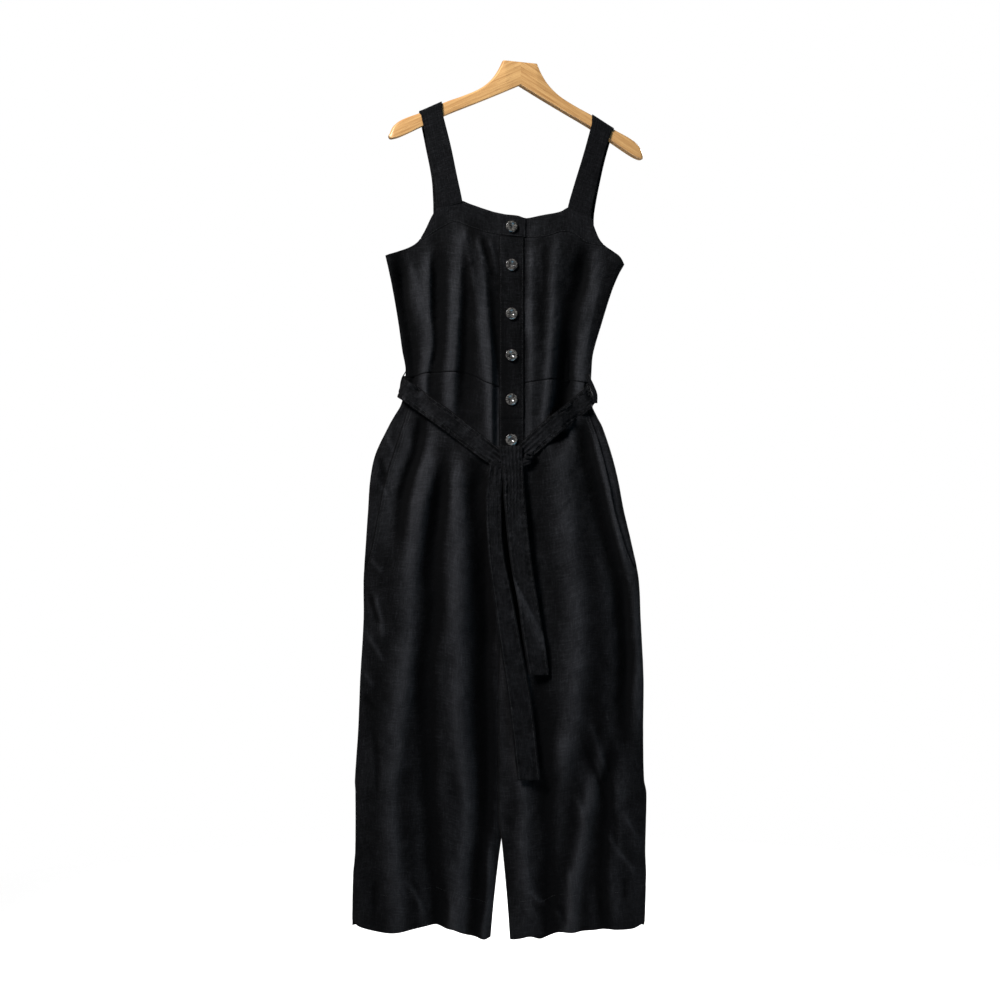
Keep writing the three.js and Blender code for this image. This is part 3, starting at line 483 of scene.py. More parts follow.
def makeMesh(name, points, faces, uv=None, wearAndShading=None):
    # points in metres, faces an array of quads or triangles, turned so that the volume is positive
    faces = np.asarray(faces)
    corners = points[faces[:, :3]]
    volume = np.einsum("ij,ij->i", corners[:, 0], np.cross(corners[:, 1], corners[:, 2])).sum()
    if faces.shape[1] == 4:
        other = points[faces[:, [0, 2, 3]]]
        volume += np.einsum("ij,ij->i", other[:, 0], np.cross(other[:, 1], other[:, 2])).sum()
    if volume < 0:
        faces = faces[:, ::-1]
    mesh = bpy.data.meshes.new(name)
    mesh.vertices.add(len(points))
    mesh.vertices.foreach_set("co", points.astype(np.float32).ravel())
    sizes = faces.shape[1]
    mesh.loops.add(faces.size)
    mesh.loops.foreach_set("vertex_index", faces.ravel().astype(np.int32))
    mesh.polygons.add(len(faces))
    mesh.polygons.foreach_set("loop_start", np.arange(0, faces.size, sizes, dtype=np.int32))
    mesh.polygons.foreach_set("loop_total", np.full(len(faces), sizes, dtype=np.int32))
    mesh.polygons.foreach_set("use_smooth", np.ones(len(faces), bool))
    if uv is not None:
        layer = mesh.uv_layers.new(name="UVMap")
        layer.data.foreach_set("uv", uv[faces.ravel()].astype(np.float32).ravel())
    if wearAndShading is not None:
        mesh.attributes.new("wearAndShading", "FLOAT", "POINT").data.foreach_set("value", wearAndShading.astype(np.float32))
    mesh.update(calc_edges=True)
    mesh.validate()
    made = bpy.data.objects.new(name, mesh)
    bpy.context.scene.collection.objects.link(made)
    return made


def gridFaces(columns, rows, start=0, closed=False):
    # quads between neighbouring points of a grid; closed joins the last row to the first
    i = np.arange(columns - 1)[:, None]
    j = np.arange(rows if closed else rows - 1)[None, :]
    k = (j + 1) % rows
    quads = np.stack((i * rows + j, (i + 1) * rows + j, (i + 1) * rows + k, i * rows + k), axis=-1)
    return quads.reshape(-1, 4) + start


def rimFaces(columns, rows, offset):
    # quads that join the rims of two like grids
    i, j = np.arange(columns - 1), np.arange(rows - 1)
    edges = [(i * rows, (i + 1) * rows), ((i + 1) * rows + rows - 1, i * rows + rows - 1),
             (j + 1, j), ((columns - 1) * rows + j, (columns - 1) * rows + j + 1)]
    return np.concatenate([np.stack((a, a + offset, b + offset, b), axis=-1) for a, b in edges])


def wallFromGrids(name, outer, inner, wearAndShading=None):
    # outer and inner are grids of points in mm; UV is the distance along the outer face in metres
    columns, rows = outer.shape[:2]
    offset = columns * rows
    across = np.linalg.norm(np.diff(outer, axis=0), axis=2)
    down = np.linalg.norm(np.diff(outer, axis=1), axis=2)
    alongU = np.concatenate((np.zeros((1, rows)), np.cumsum(across, 0)))
    alongV = np.concatenate((np.zeros((columns, 1)), np.cumsum(down, 1)), 1)
    alongU -= alongU[columns // 2]
    alongV -= alongV[:, :1] - alongV[:, :1].mean()
    uv = np.stack((alongU, alongV), axis=-1).reshape(-1, 2) * mm
    points = np.concatenate((outer.reshape(-1, 3), inner.reshape(-1, 3))) * mm
    outerFaces, innerFaces = gridFaces(columns, rows), gridFaces(columns, rows, offset)[:, ::-1]
    faces = np.concatenate((outerFaces, innerFaces, rimFaces(columns, rows, offset)))
    wearAndShading = np.full(columns * rows, 0.5) if wearAndShading is None else wearAndShading.ravel()
    return makeMesh(name, points, faces, np.concatenate((uv, uv)), np.concatenate((wearAndShading, wearAndShading)))


def foldShadeAndWear(face, x, z):
    # painted shade and light of the folds, partly real fading from washing: 0 in the hollows, 0.5 on flat
    # cloth and 1 on the crests: the height of the folds at a place less the mean of it to the left and
    # right, near and further off, plus a share of the crumpling
    folds, creases = (frontFolds, frontCreases) if face == "front" else (backFolds, backCreases)

    def height(at):
        return foldHeight(folds, at, z) + creaseHeight(creases, at, z)
    here, proud = height(x), cloth["shadeAndWearCrumple"] * crumple(x, z, 11)
    for reach, weight in ((7, 1.0), (22, 0.6)):
        proud = proud + weight * (here - (height(x - reach) + height(x + reach)) / 2)
    return np.clip(0.5 + proud / cloth["shadeAndWearHeight"], 0, 1)


def finishPiece(piece, material, nodes=()):
    piece.data.materials.clear()
    piece.data.materials.append(material)
    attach(piece, "root")
    if nodes:
        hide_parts(*nodes)
    return piece


# Shader maths

class Value:
    # wraps a node's output socket; arithmetic on it adds Math nodes
    def __init__(self, tree, socket):
        self.tree, self.socket = tree, socket

    def math(self, operation, *others):
        made = self.tree.nodes.new("ShaderNodeMath")
        made.operation = operation
        for k, item in enumerate([self, *others]):
            plug(self.tree, made.inputs[k], item)
        return Value(self.tree, made.outputs[0])

    def __add__(self, other):
        return self.math("ADD", other)

    def __sub__(self, other):
        return self.math("SUBTRACT", other)

    def __mul__(self, other):
        return self.math("MULTIPLY", other)

    def __truediv__(self, other):
        return self.math("DIVIDE", other)

    def __pow__(self, other):
        return self.math("POWER", other)

    __radd__ = __add__

    def sine(self):
        return self.math("SINE")

    def clamp(self):
        made = self.math("ADD", 0)
        made.socket.node.use_clamp = True
        return made

    def ramp(self, low, high):
        # 0 below low, 1 above high
        made = self.math("SUBTRACT", low) / (high - low)
        made.socket.node.use_clamp = True
        return made


def plug(tree, socket, item):
    if isinstance(item, Value):
        tree.links.new(item.socket, socket)
    else:
        socket.default_value = item


class Material:
    # a Principled material; node() adds any other node from its type, settings and inputs
    def __init__(self, name, **constants):
        self.data = bpy.data.materials.new(name)
        self.data.use_nodes = True
        self.tree = self.data.node_tree
        self.shader = next(n for n in self.tree.nodes if n.type == "BSDF_PRINCIPLED")
        for key, value in constants.items():
            self.shader.inputs[key.replace("_", " ")].default_value = value

    def node(self, kind, settings=None, output=0, **inputs):
        made = self.tree.nodes.new("ShaderNode" + kind)
        for key, value in (settings or {}).items():
            setattr(made, key, value)
        for key, value in inputs.items():
            names = [s for s in made.inputs if s.name == key.replace("_", " ") and s.enabled]
            plug(self.tree, names[0] if names else made.inputs[int(key[1:])], value)
        return Value(self.tree, made.outputs[output])

    def stretch(self, vector, scale):
        return self.node("VectorMath", dict(operation="MULTIPLY"), s0=vector, s1=scale)

    def noise(self, vector, scale, detail=2.0, rough=0.5):
        return self.node("TexNoise", Vector=vector, Scale=scale, Detail=detail, Roughness=rough)

    def blendColours(self, amount, dark, light):
        made = self.tree.nodes.new("ShaderNodeMix")
        made.data_type = "RGBA"
        plug(self.tree, made.inputs[0], amount)
        plug(self.tree, made.inputs[6], dark)
        plug(self.tree, made.inputs[7], light)
        return Value(self.tree, made.outputs[2])

    def set(self, key, value):
        plug(self.tree, self.shader.inputs[key], value)

    def bump(self, height, distance, strength=1.0, under=None):
        inputs = dict(Height=height, Distance=distance, Strength=strength)
        if under is not None:
            inputs["Normal"] = under
        return self.node("Bump", **inputs)


linenLook = dict(
    dark=(0.00035, 0.00035, 0.00045),
    light=(0.0124, 0.0125, 0.0139),
    contrast=1.85,
    # painted light on crests and painted shade in hollows and at seams, partly real fading from washing
    shadeAndWearShare=0.85,  # what crests and hollows add to the paleness
    slubShare=0.55,
    cloudShare=0.12,
    fineShare=0.3,
    darker=0.22,  # taken off the sum before the contrast
    yarn=0.00062,  # metres from yarn to yarn
    slubWidth=720,
    slubLength=38,
    roughness=0.86,
)


def linenMaterial(name, brightness=1.0):
    # plain weave bump, slubs along both yarns, cloudy wash, and painted light on fold crests with painted
    # shade in hollows and at seams, partly real fading from washing
    look = linenLook
    m = Material(name, Roughness=look["roughness"], Sheen_Weight=0.006, Sheen_Roughness=0.5,
                 Specular_IOR_Level=0.03)
    uv = m.node("TexCoord", None, 2)
    u = m.node("SeparateXYZ", Vector=uv)
    v = Value(m.tree, u.socket.node.outputs[1])
    turns = 2 * math.pi / (2 * look["yarn"])
    weave = (u * turns).sine() * (v * turns).sine()
    warp = m.noise(m.stretch(uv, (look["slubWidth"], look["slubLength"], 1)), 1.0, 3.0)
    weft = m.noise(m.stretch(uv, (look["slubLength"], look["slubWidth"], 1)), 1.0, 3.0)
    cloud = m.noise(uv, 26.0, 4.0, 0.6)
    fine = m.noise(uv, 420.0, 3.0, 0.6)
    # painted light on fold crests, painted shade in hollows and at seams, partly real fading from washing
    wearAndShading = m.node("Attribute", dict(attribute_name="wearAndShading"), 2)
    slub = (warp.ramp(0.5, 0.72) + weft.ramp(0.5, 0.72)) * 0.5
    marks = slub * look["slubShare"] + cloud.ramp(0.35, 0.7) * look["cloudShare"]
    marks = marks + fine.ramp(0.45, 0.75) * look["fineShare"]
    paleness = (wearAndShading * look["shadeAndWearShare"] + marks - look["darker"]).clamp() ** look["contrast"]
    dark, light = (tuple(c * brightness for c in look[key]) + (1,) for key in ("dark", "light"))
    m.set("Base Color", m.blendColours(paleness, dark, light))
    m.set("Roughness", look["roughness"] + slub * 0.08)
    yarns = m.bump(weave * 0.5 + slub, 0.00016, 0.7)
    m.set("Normal", m.bump(m.noise(uv, 95.0, 4.0, 0.55), 0.0022, 0.55, yarns))
    return m.data


linen = linenMaterial("linen")
beltLinen = linenMaterial("beltLinen", 0.9)

threadMaterial = Material("thread", Roughness=0.7)
threadTwist = threadMaterial.noise(threadMaterial.node("TexCoord", None, 3), 900.0, 1.0)
threadMaterial.set("Base Color", threadMaterial.blendColours(
    threadTwist, (0.0022, 0.0022, 0.0026, 1), (0.0075, 0.0075, 0.0086, 1)))
thread = threadMaterial.data
print("materials made")


# Panels

def closeToRims(count, length):
    # even steps with a few more near both ends, where the rim rolls in
    near = np.array([0.4, 1.0, 1.8, 3.0]) / length
    return np.unique(np.concatenate((np.linspace(0, 1, count), near, 1 - near)))


def rimDepth(grid, reach=1.2):
    # 1 at the nearest rim, falling away as exp(-(distance / reach)^2)
    away = np.full(grid.shape[:2], 1e3)
    for axis in (0, 1):
        steps = np.linalg.norm(np.diff(grid, axis=axis), axis=2)
        pad = [(1, 0), (0, 0)] if axis == 0 else [(0, 0), (1, 0)]
        run = np.pad(np.cumsum(steps, axis), pad)
        total = run[-1:, :] if axis == 0 else run[:, -1:]
        away = np.minimum(away, np.minimum(run, total - run))
    return np.exp(-(away / reach) ** 2)


def panel(name, face, place, shape, nodes, flat, side=None, lifts=None, roll=1):
    # a wall over the X-Z plane; place(u, v) gives x and z, shape is steps across and down
    u = closeToRims(shape[0], flat[0] / mm)[:, None]
    v = closeToRims(shape[1], flat[1] / mm)[None, :]
    x, z = np.broadcast_arrays(*place(u, v))
    lift = cloth["wall"] + (0 if lifts is None else lifts(x, z))
    sign = signOf(face)
    y = surface(face, x, z, lift, side)
    outer = np.stack((x, y, z), axis=-1)
    inner = np.stack((x, y - sign * cloth["thickness"], z), axis=-1)
    # painted shade along the rims, where they roll in at the seams, on top of the painted shade and light of
    # the folds
    wearAndShading = foldShadeAndWear(face, x, z) * (1 - 0.9 * roll * rimDepth(outer, 1.7))
    outer[..., 1] -= sign * cloth["rimRoll"] * roll * rimDepth(outer)
    piece = wallFromGrids(name, outer, inner, wearAndShading)
    return finishPiece(piece, linen, nodes)


def tuckUnder(z, seam):
    # what runs on above a seam lies under the piece there
    return -cloth["tuckDepth"] * ease(seam - 0.6, seam + 0.5, z)


def inYoke(x):
    return (x > cloth["yokeLeft"]) & (x < cloth["yokeRight"])


def upperSeamFront(x):
    return np.where(inYoke(x), yokeLine(x), frontTop(x))


def bodiceFrontPlace(side):
    middle = cloth["centreFront"] + signOf(side) * cloth["gap"] / 2

    def place(u, v):
        low = waistLine(mix(sideSeam(side, -527), middle, u)) + 0.2
        xTop = mix(sideSeam(side, -300), middle, u)
        z = mix(low, upperSeamFront(xTop) - cloth["gap"] / 2 + cloth["tuck"] * inYoke(xTop), v)
        return mix(sideSeam(side, z), middle, u), z
    return place


def underCentre(side, z):
    # above the crotch the left trousers run on under the right ones at the centre seam
    under = ease(cloth["crotch"], cloth["crotch"] + 30, z) if side == "left" else 0
    return mix(signOf(side) * cloth["gap"] / 2, cloth["centreTuck"], under)


def trouserFrontPlace(side):
    def place(u, v):
        def across(z):
            cut = mix(pocketLine(side, z), sideSeam(side, z), ease(cloth["pocketEnd"], -840, z))
            return mix(cut, middleSeam(side, z) + underCentre(side, z), u)
        high = waistLine(across(-527)) + cloth["tuck"]
        z = mix(high, hemLine(across(-1430)), v)
        return across(z), z
    return place


def trouserBackPlace(side):
    def place(u, v):
        z = mix(cloth["backWaist"] + cloth["tuck"], cloth["backHem"], v) + 0 * u
        return mix(sideSeam(side, z), middleSeam(side, z) + underCentre(side, z), u), z
    return place


def bodiceBackPlace(u, v):
    high = np.minimum(backTop(mix(sideSeam("left", -300), sideSeam("right", -300), u)), cloth["backYoke"])
    z = mix(cloth["backWaist"] + 0.2, high - cloth["gap"] / 2 + cloth["tuck"] * (high > -304), v)
    return mix(sideSeam("left", z), sideSeam("right", z), u), z


def yokePlace(start, end, top, bottom):
    def place(u, v):
        x = mix(start, end, u)
        low = bottom(x) + cloth["gap"] / 2
        return x + 0 * v, mix(low, np.maximum(top(x), low + 1), v)
    return place


def pocketPlace(side):
    inward = -signOf(side) * cloth["pocketTuck"]

    def place(u, v):
        across = mix(sideSeam(side, -527), pocketLine(side, -527) + inward, u)
        z = mix(waistLine(across) + cloth["tuck"], cloth["pocketEnd"] - cloth["pocketRun"], v)
        return mix(sideSeam(side, z), pocketLine(side, z) + inward, u), z
    return place


def pocketLift(side):
    # flush where it shows, under the trouser front inside the pocket's edge
    def lift(x, z):
        line = pocketLine(side, z)
        outside = (line - x) / (line - sideSeam(side, z))
        shown = ease(0.15, 0.7, outside) * ease(cloth["pocketEnd"] - 2, cloth["pocketEnd"] + 6, z)
        return -(cloth["wall"] + 0.6) * (1 - shown) + tuckUnder(z, waistLine(x)) * shown
    return lift


def yokeCross(x, z):
    # the left yoke rises over the right one
    return (cloth["wall"] + cloth["gap"]) * ease(-40, -29, x)


def underYoke(x, z):
    return np.where(inYoke(x), tuckUnder(z, yokeLine(x)), 0)


def underWaist(side, face):
    # the trousers' lift: low under the bodice's edge and, on the left, under the centre seam
    def lift(x, z):
        line = waistLine(x) if face == "front" else cloth["backWaist"]
        seam = middleSeam(side, z)
        centre = ease(seam - 0.5, seam + 0.6, x) * (side == "left") * (z > cloth["crotch"])
        return tuckUnder(z, line) - cloth["tuckDepth"] * centre
    return lift


for side in ("left", "right"):
    title = side.capitalize()
    panel("bodiceFront" + title, "front", bodiceFrontPlace(side), (92, 110),
          ["bodice_front_" + side], (0.25, 0.27), side=side, lifts=underYoke)
    panel("trouserFront" + title, "front", trouserFrontPlace(side), (110, 330),
          ["trouser_front_" + side], (0.31, 0.96), side=side, lifts=underWaist(side, "front"))
    panel("trouserBack" + title, "back", trouserBackPlace(side), (80, 240),
          ["trouser_back_" + side], (0.30, 0.96), side=side, lifts=underWaist(side, "back"))
    panel("pocketSide" + title, "front", pocketPlace(side), (16, 100),
          ["pocket_side_" + side], (0.06, 0.30), side=side, lifts=pocketLift(side))
panel("bodiceBack", "back", bodiceBackPlace, (140, 80), ["bodice_back"], (0.42, 0.24),
      lifts=lambda x, z: tuckUnder(z, cloth["backYoke"]))


panel("yokeLeft", "front", yokePlace(cloth["yokeLeft"], cloth["yokeLeftEnd"], frontTop, yokeLine), (80, 16),
      ["yoke_left"], (0.18, 0.05), lifts=yokeCross, roll=0.12)
panel("yokeRight", "front", yokePlace(cloth["yokeRightStart"], cloth["yokeRight"], frontTop, yokeLine),
      (74, 16), ["yoke_right"], (0.17, 0.05), roll=0.12)
panel("yokeBack", "back", yokePlace(cloth["yokeBackLeft"], cloth["yokeBackRight"], backTop,
                                    lambda x: cloth["backYoke"] + 0 * x),
      (120, 14), ["yoke_back"], (0.31, 0.05))


def placketPlace(u, v):
    x = mix(cloth["placketLeft"], cloth["placketRight"], u)
    return x + 0 * v, mix(yokeLine(x) - cloth["gap"] / 2, cloth["placketEnd"], v)


def placketRelief(x, z):
    # furrows along the stitch rows, small waves between the buttons, a small slanting crease under the
    # first button and a step where it rides over the waist seam
    row = cloth["placketRight"] - cloth["placketStitch"] - placketMiddle
    edge = np.abs(np.abs(x - placketMiddle) - row)
    slant = z + 301 + 0.3 * (x + 24)
    step = 1.5 * np.exp(-((z + 588) / 22) ** 2) * ease(-590.5, -586.5, z)
    return (-0.4 * np.exp(-(edge / 1.1) ** 2) + 0.5 * wander(x, z, 16, 5) + 0.25 * wander(x, z, 6, 6)
            - 0.9 * np.exp(-(slant / 1.5) ** 2) * ease(-32, -22, x) + step + cloth["wall"] + cloth["gap"])


panel("placket", "front", placketPlace, (30, 240), ["placket"], (0.041, 0.375), lifts=placketRelief)
print("panels made")


# Straps: up the front, over the hanger's arm, down the back

hangerShape = dict(
    yaw=20,
    socketRadius=3,
    socketDepth=22,  # the drill's length, 1 mm of it above the neck
    neck=29,  # half the width of the flat top
    tip=8,  # the length that closes at each tip
    tipHeight=-140,
    lowerRadius=1.4,
    grainSlope=27,
    halfThickness=6.5,
    edgeRadius=3.5,
    reach=224,
    along=[29, 35, 45, 59, 75, 101, 128, 168, 200, 214, 222],
    top=[0, -12.5, -28, -42, -53, -65.5, -77, -97, -111, -121, -134],
    underAlong=[0, 35, 70, 126, 170, 205, 222],
    under=[-38, -55, -71.5, -97.5, -121, -139.5, -145],
)
straps = dict(
    left=dict(z=[-95, -150, -200, -236, -254], inner=[-125.5, -111.6, -101.2, -93.5, -91],
              outer=[-161, -149, -138.5, -135.5, -135]),
    right=dict(z=[-92, -145, -203, -238, -252], inner=[121.5, 107, 89.5, 79.9, 79.5],
               outer=[158.5, 142, 128, 121, 119.5]),
    splay=6,
    thickness=1.7,
    tuck=3,  # how far both ends run on under the yokes
)
tiltCos = math.cos(math.radians(hangerShape["yaw"]))


def hangerTop(x):
    along = np.clip(np.abs(x) / tiltCos, hangerShape["neck"], hangerShape["reach"] - 2)
    return curve(hangerShape, "along", "top", along)


def strapGrid(side, extra):
    # rows run along the strap: a straight front run, two quarter turns over the arm, a straight back run
    rows, sign = straps[side], signOf(side)
    s = np.linspace(0, 1, 21)[:, None]

    def across(z, splay=0.0):
        return mix(curve(rows, "z", "inner", z), curve(rows, "z", "outer", z), s) + sign * splay
    topZ, lowZ = rows["z"][0], rows["z"][-1]
    clear, corner = 0.65, hangerShape["edgeRadius"] + 0.6
    half = hangerShape["halfThickness"] / tiltCos + clear
    crown = hangerTop(across(topZ)) + clear
    frontEnd = frontTop(across(lowZ)) - straps["tuck"]
    backEnd = cloth["backNeck"] - straps["tuck"] + 0 * s
    t = np.concatenate(([0, 0.008, 0.015, 0.019, 0.023, 0.028], np.linspace(0.035, 1, 56)))[None, :]
    base = frontDepth(side, across(lowZ), frontEnd, False) + cloth["gap"]
    z = mix(frontEnd, crown - corner, t)
    x = across(z)
    ripple = 0.35 * wander(x, z, 12, 7) * np.sin(np.pi * t)
    under = 0.3 * ease(frontEnd + straps["tuck"] + 0.6, frontEnd + straps["tuck"] - 0.5, z)
    front = np.stack((x, shear(x, z) - mix(base, half, t) - extra - ripple + under, z), axis=-1)
    angle = np.linspace(0, np.pi / 2, 10)[None, 1:]
    reach = corner + extra
    arcs = []
    quarters = ((corner - half, np.pi - angle, 0.0), (half - corner, np.pi / 2 - angle, 0.5))
    for centre, turned, part in quarters:
        z = crown - corner + reach * np.sin(turned)
        x = across(topZ, straps["splay"] * (part + 0.5 * angle / (np.pi / 2)) / 2)
        arcs.append(np.stack((x, shear(x, z) + centre + reach * np.cos(turned), z), axis=-1))
    t = 1 - t[:, ::-1]
    z = mix(crown - corner, backEnd, t[:, 1:])
    x = across(z, mix(straps["splay"] / 2, straps["splay"], t[:, 1:]))
    base = backDepth(side, x[:, -1:], backEnd, False) + cloth["gap"]
    under = cloth["tuckDepth"] * ease(backEnd + straps["tuck"] + 0.6, backEnd + straps["tuck"] - 0.5, z)
    back = np.stack((x, shear(x, z) + mix(half, base, t[:, 1:]) + extra - under, z), axis=-1)
    return np.concatenate((front, *arcs, back), axis=1)


for side in ("left", "right"):
    piece = wallFromGrids("strap" + side.capitalize(), strapGrid(side, straps["thickness"]),
                          strapGrid(side, 0.1))
    finishPiece(piece, linen, ["strap_" + side])
print("straps made")


# Belt

beltRoute = dict(
    x=[-31, -66, -97, -130, -162, -184, -194.3, -184, -120, -35, 50, 110, 119.5, 111, 90, 66, 37, 3],
    z=[-659, -633, -609, -584, -561, -545, -537, -534, -540, -546, -542, -538, -541, -555, -573, -592,
       -617, -648],
    side="ffffffebbbbbefffff",
)
beltSize = dict(
    width=33,
    thickness=2.2,
    stitchRows=(9.5, 14.6),  # from its middle
    gather=26,  # how far the knot draws it in
    narrowing=0.16,
    lean=0.3,
)


def runAlong(points, power=1):
    # distance from the first point to each; a power below 1 evens out long and short steps
    steps = np.linalg.norm(np.diff(points, axis=0), axis=1) ** power
    return np.concatenate(([0], np.cumsum(steps)))


def bridge(depthOf, x, z):
    # the least depth that clears the folds around a place
    side = "left" if x < cloth["centreFront"] else "right"
    dx, dz = np.meshgrid([-24.0, -12, 0, 12, 24], [-18.0, 0, 18])
    return depthOf(side, x + dx, z + dz, False).max()


def smoothPath(points, count):
    # even steps along a smooth curve through the points
    away = runAlong(points, 0.5)
    table = dict(t=away, x=points[:, 0], y=points[:, 1], z=points[:, 2])
    fine = np.linspace(0, away[-1], 1500)
    line = np.stack([curve(table, "t", axis, fine) for axis in "xyz"], axis=-1)
    length = runAlong(line)
    even = np.linspace(0, length[-1], count)
    return np.stack([np.interp(even, length, line[:, k]) for k in range(3)], axis=-1)


def unit(vectors):
    return vectors / np.linalg.norm(vectors, axis=-1, keepdims=True)


def strip(name, path, across, outward, width, thickness, samples, relief):
    # a flat strip carried along a path; width may vary along it, and relief(s, t) lifts its outer
    # face, s across and t along, in mm
    s = np.linspace(-1, 1, samples)[:, None]
    t = runAlong(path)[None, :]
    edge = 1 - np.abs(s) ** 14
    place = path[None] + across[None] * (s * width / 2)[..., None]
    lift = thickness * (0.35 + 0.65 * edge) + relief(s * width / 2, t)
    outer = place + outward[None] * lift[..., None]
    inner = place + outward[None] * (0 * t + 0.25 * (1 - edge))[..., None]
    # paleness from the relief: painted light on its rises, painted shade in its furrows
    return wallFromGrids(name, outer, inner, reliefShading(lift - thickness))


def reliefShading(relief):
    # painted light on the raised puckers, painted shade in the furrows and under the stitch rows
    return np.clip(0.5 + 0.26 * relief, 0, 1)


def beltRelief(s, t):
    # washed-in puckers between the stitch rows, with a furrow under each row
    rows = sum(np.exp(-((np.abs(s) - at) / 0.8) ** 2) for at in beltSize["stitchRows"])
    ripple = wander(0.35 * s + 50, t, 4.2, 3) * np.exp(-((np.abs(s) - 12) / 4) ** 2)
    return (-0.6 * rows + 1.0 * ripple + 0.55 * wander(s + 50, 0.7 * t, 7.5, 3)
            + 0.5 * wander(s + 50, t, 2.8, 4))


def beltBand():
    points = []
    for x, z, where in zip(beltRoute["x"], beltRoute["z"], beltRoute["side"]):
        over = (cloth["wall"] + cloth["gap"]) * (1 - float(ease(22, 42, abs(x - placketMiddle))))
        clear = cloth["wall"] + 0.6 + over
        y = float(shear(x, z))
        if where == "f":
            y -= bridge(frontDepth, x, z) + clear
        if where == "b":
            y += bridge(backDepth, x, z) + clear
        points.append((x, y, z))
    path = smoothPath(np.array(points), 520)
    along = unit(np.gradient(path, axis=0))
    outward = -unit(np.cross(along, (0, 0, 1)))
    turning = ease(0.55, 0.95, np.abs(outward[:, :1]))
    across = unit(np.cross(outward, along) + beltSize["lean"] * turning * outward)
    length = runAlong(path)[-1]
    t = np.linspace(0, length, len(path))[None, :]

    def drawn(t):
        # 1 at the knot, falling away from both ends
        return np.exp(-t / beltSize["gather"]) + np.exp((t - length) / beltSize["gather"])

    def relief(s, t):
        # lengthwise pleats where the ends are drawn into the knot
        return beltRelief(s, t) + 1.1 * np.cos(s * 0.85) * drawn(t)
    width = beltSize["width"] * (1 - beltSize["narrowing"] * drawn(t))
    piece = strip("beltBand", path, across, outward, width, beltSize["thickness"], 39, relief)
    finishPiece(piece, beltLinen, ["belt_band"])
    return path, across, outward, width


beltPath, beltAcross, beltOutward, beltWidths = beltBand()

tailLong = dict(z=[-662, -722, -800, -884, -966, -1047, -1177], left=[-50, -55, -52, -42, -31, -19, -4],
                right=[-26, -30, -27, -11, 4, 19, 34])
tailShort = dict(z=[-636, -674, -722, -819, -884, -949, -1006], left=[-34, -29, -26, -16, -4, 5, 15],
                 right=[4, 6, 9, 19, 29, 40, 48])
tailPlace = dict(long=40.6, short=43.6, roll=5.5)  # depth in front of the hanger's plane, fold radius


def tail(name, rows, depth, node, foldOver, relief):
    # a hanging end; foldOver is the radius of the half turn with which it comes over the knot
    zTop = rows["z"][0]
    z = np.linspace(zTop - foldOver, rows["z"][-1], 230)
    y, outY, outZ = np.full(z.shape, -float(depth)), -np.ones(z.shape), np.zeros(z.shape)
    if foldOver:
        angle = np.linspace(0, np.pi, 20)[:-1]
        z = np.concatenate((zTop - foldOver + foldOver * np.sin(angle), z))
        y = np.concatenate((foldOver - depth + foldOver * np.cos(angle), y))
        outY, outZ = np.concatenate((np.cos(angle), outY)), np.concatenate((np.sin(angle), outZ))
    s = np.linspace(-1, 1, 33)[:, None]
    left, right = curve(rows, "z", "left", z), curve(rows, "z", "right", z)
    middle, half = (left + right) / 2, (right - left) / 2
    x = middle + half * s
    down = np.linspace(0, 1, len(z))
    sway = 1.0 * np.sin(5 * down) + 0.05 * (x - middle) * np.sin(4 * down)
    base = shear(x, z) + y - sway
    edge = 1 - np.abs(s) ** 14
    thickness, place = beltSize["thickness"], s * beltSize["width"] / 2 + 0 * z
    lift = thickness * (0.35 + 0.65 * edge) + beltRelief(place, 400 * down + 0 * s) + relief(x, z, s)
    outer = np.stack((x, base + outY * lift, z + outZ * lift), axis=-1)
    inner = np.stack((x, base + outY * 0.25 * (1 - edge), z + 0 * x), axis=-1)
    # paleness from the relief: painted light on its rises, painted shade in its furrows
    piece = wallFromGrids(name, outer, inner, reliefShading(0.6 * (lift - thickness)))
    finishPiece(piece, beltLinen, [node])
    return [outer[k, 30:] for k in (3, 29)]  # the lines of its stitch rows, below the knot


def longRelief(x, z, s):
    # drawn together under the knot, then flat
    return 1.0 * np.cos(9 * s) * ease(-720, -668, z)


def shortRelief(x, z, s):
    # uneven upright pleats over the knot that twist a little lower down, then one diagonal fold
    lean = 0.3 * ease(-660, -760, z) + 0.07 * wander(3 * s + 9, z, 1.5, 8) + 0.05 * wander(s + 9, z, 22, 9)
    deep = 0.75 + 0.45 * wander(4 * s + 9, 0.02 * z, 1.3, 12)
    pleats = 1.15 * deep * np.cos(6.4 * np.pi * (s + lean)) * ease(-800, -700, z)
    away = x - mix(-11, 35, (z + 849) / -88)
    fold = 3.2 * np.exp(-(away / np.where(away < 0, 13, 3.5)) ** 2) * ease(-820, -850, z)
    return pleats + fold


tailEdges = tail("beltTailLong", tailLong, tailPlace["long"], "belt_tail_long", 0, longRelief)
tailEdges += tail("beltTailShort", tailShort, tailPlace["short"], "belt_tail_short",
                  tailPlace["roll"], shortRelief)

knotParts = [
    # the gathered pad under the fold, the rounded lump below the left end, and the right curl
    dict(x=-15, z=-657, width=37, height=30, back=35, depth=7.5, tilt=0),
    dict(x=-38, z=-664, width=20, height=14, back=36, depth=8, tilt=-38),
    dict(x=9, z=-660, width=20, height=13, back=37, depth=9, tilt=20),
]
knotCurl = dict(x=15, z=-650, width=9, height=7.5, tube=3.6, back=44)


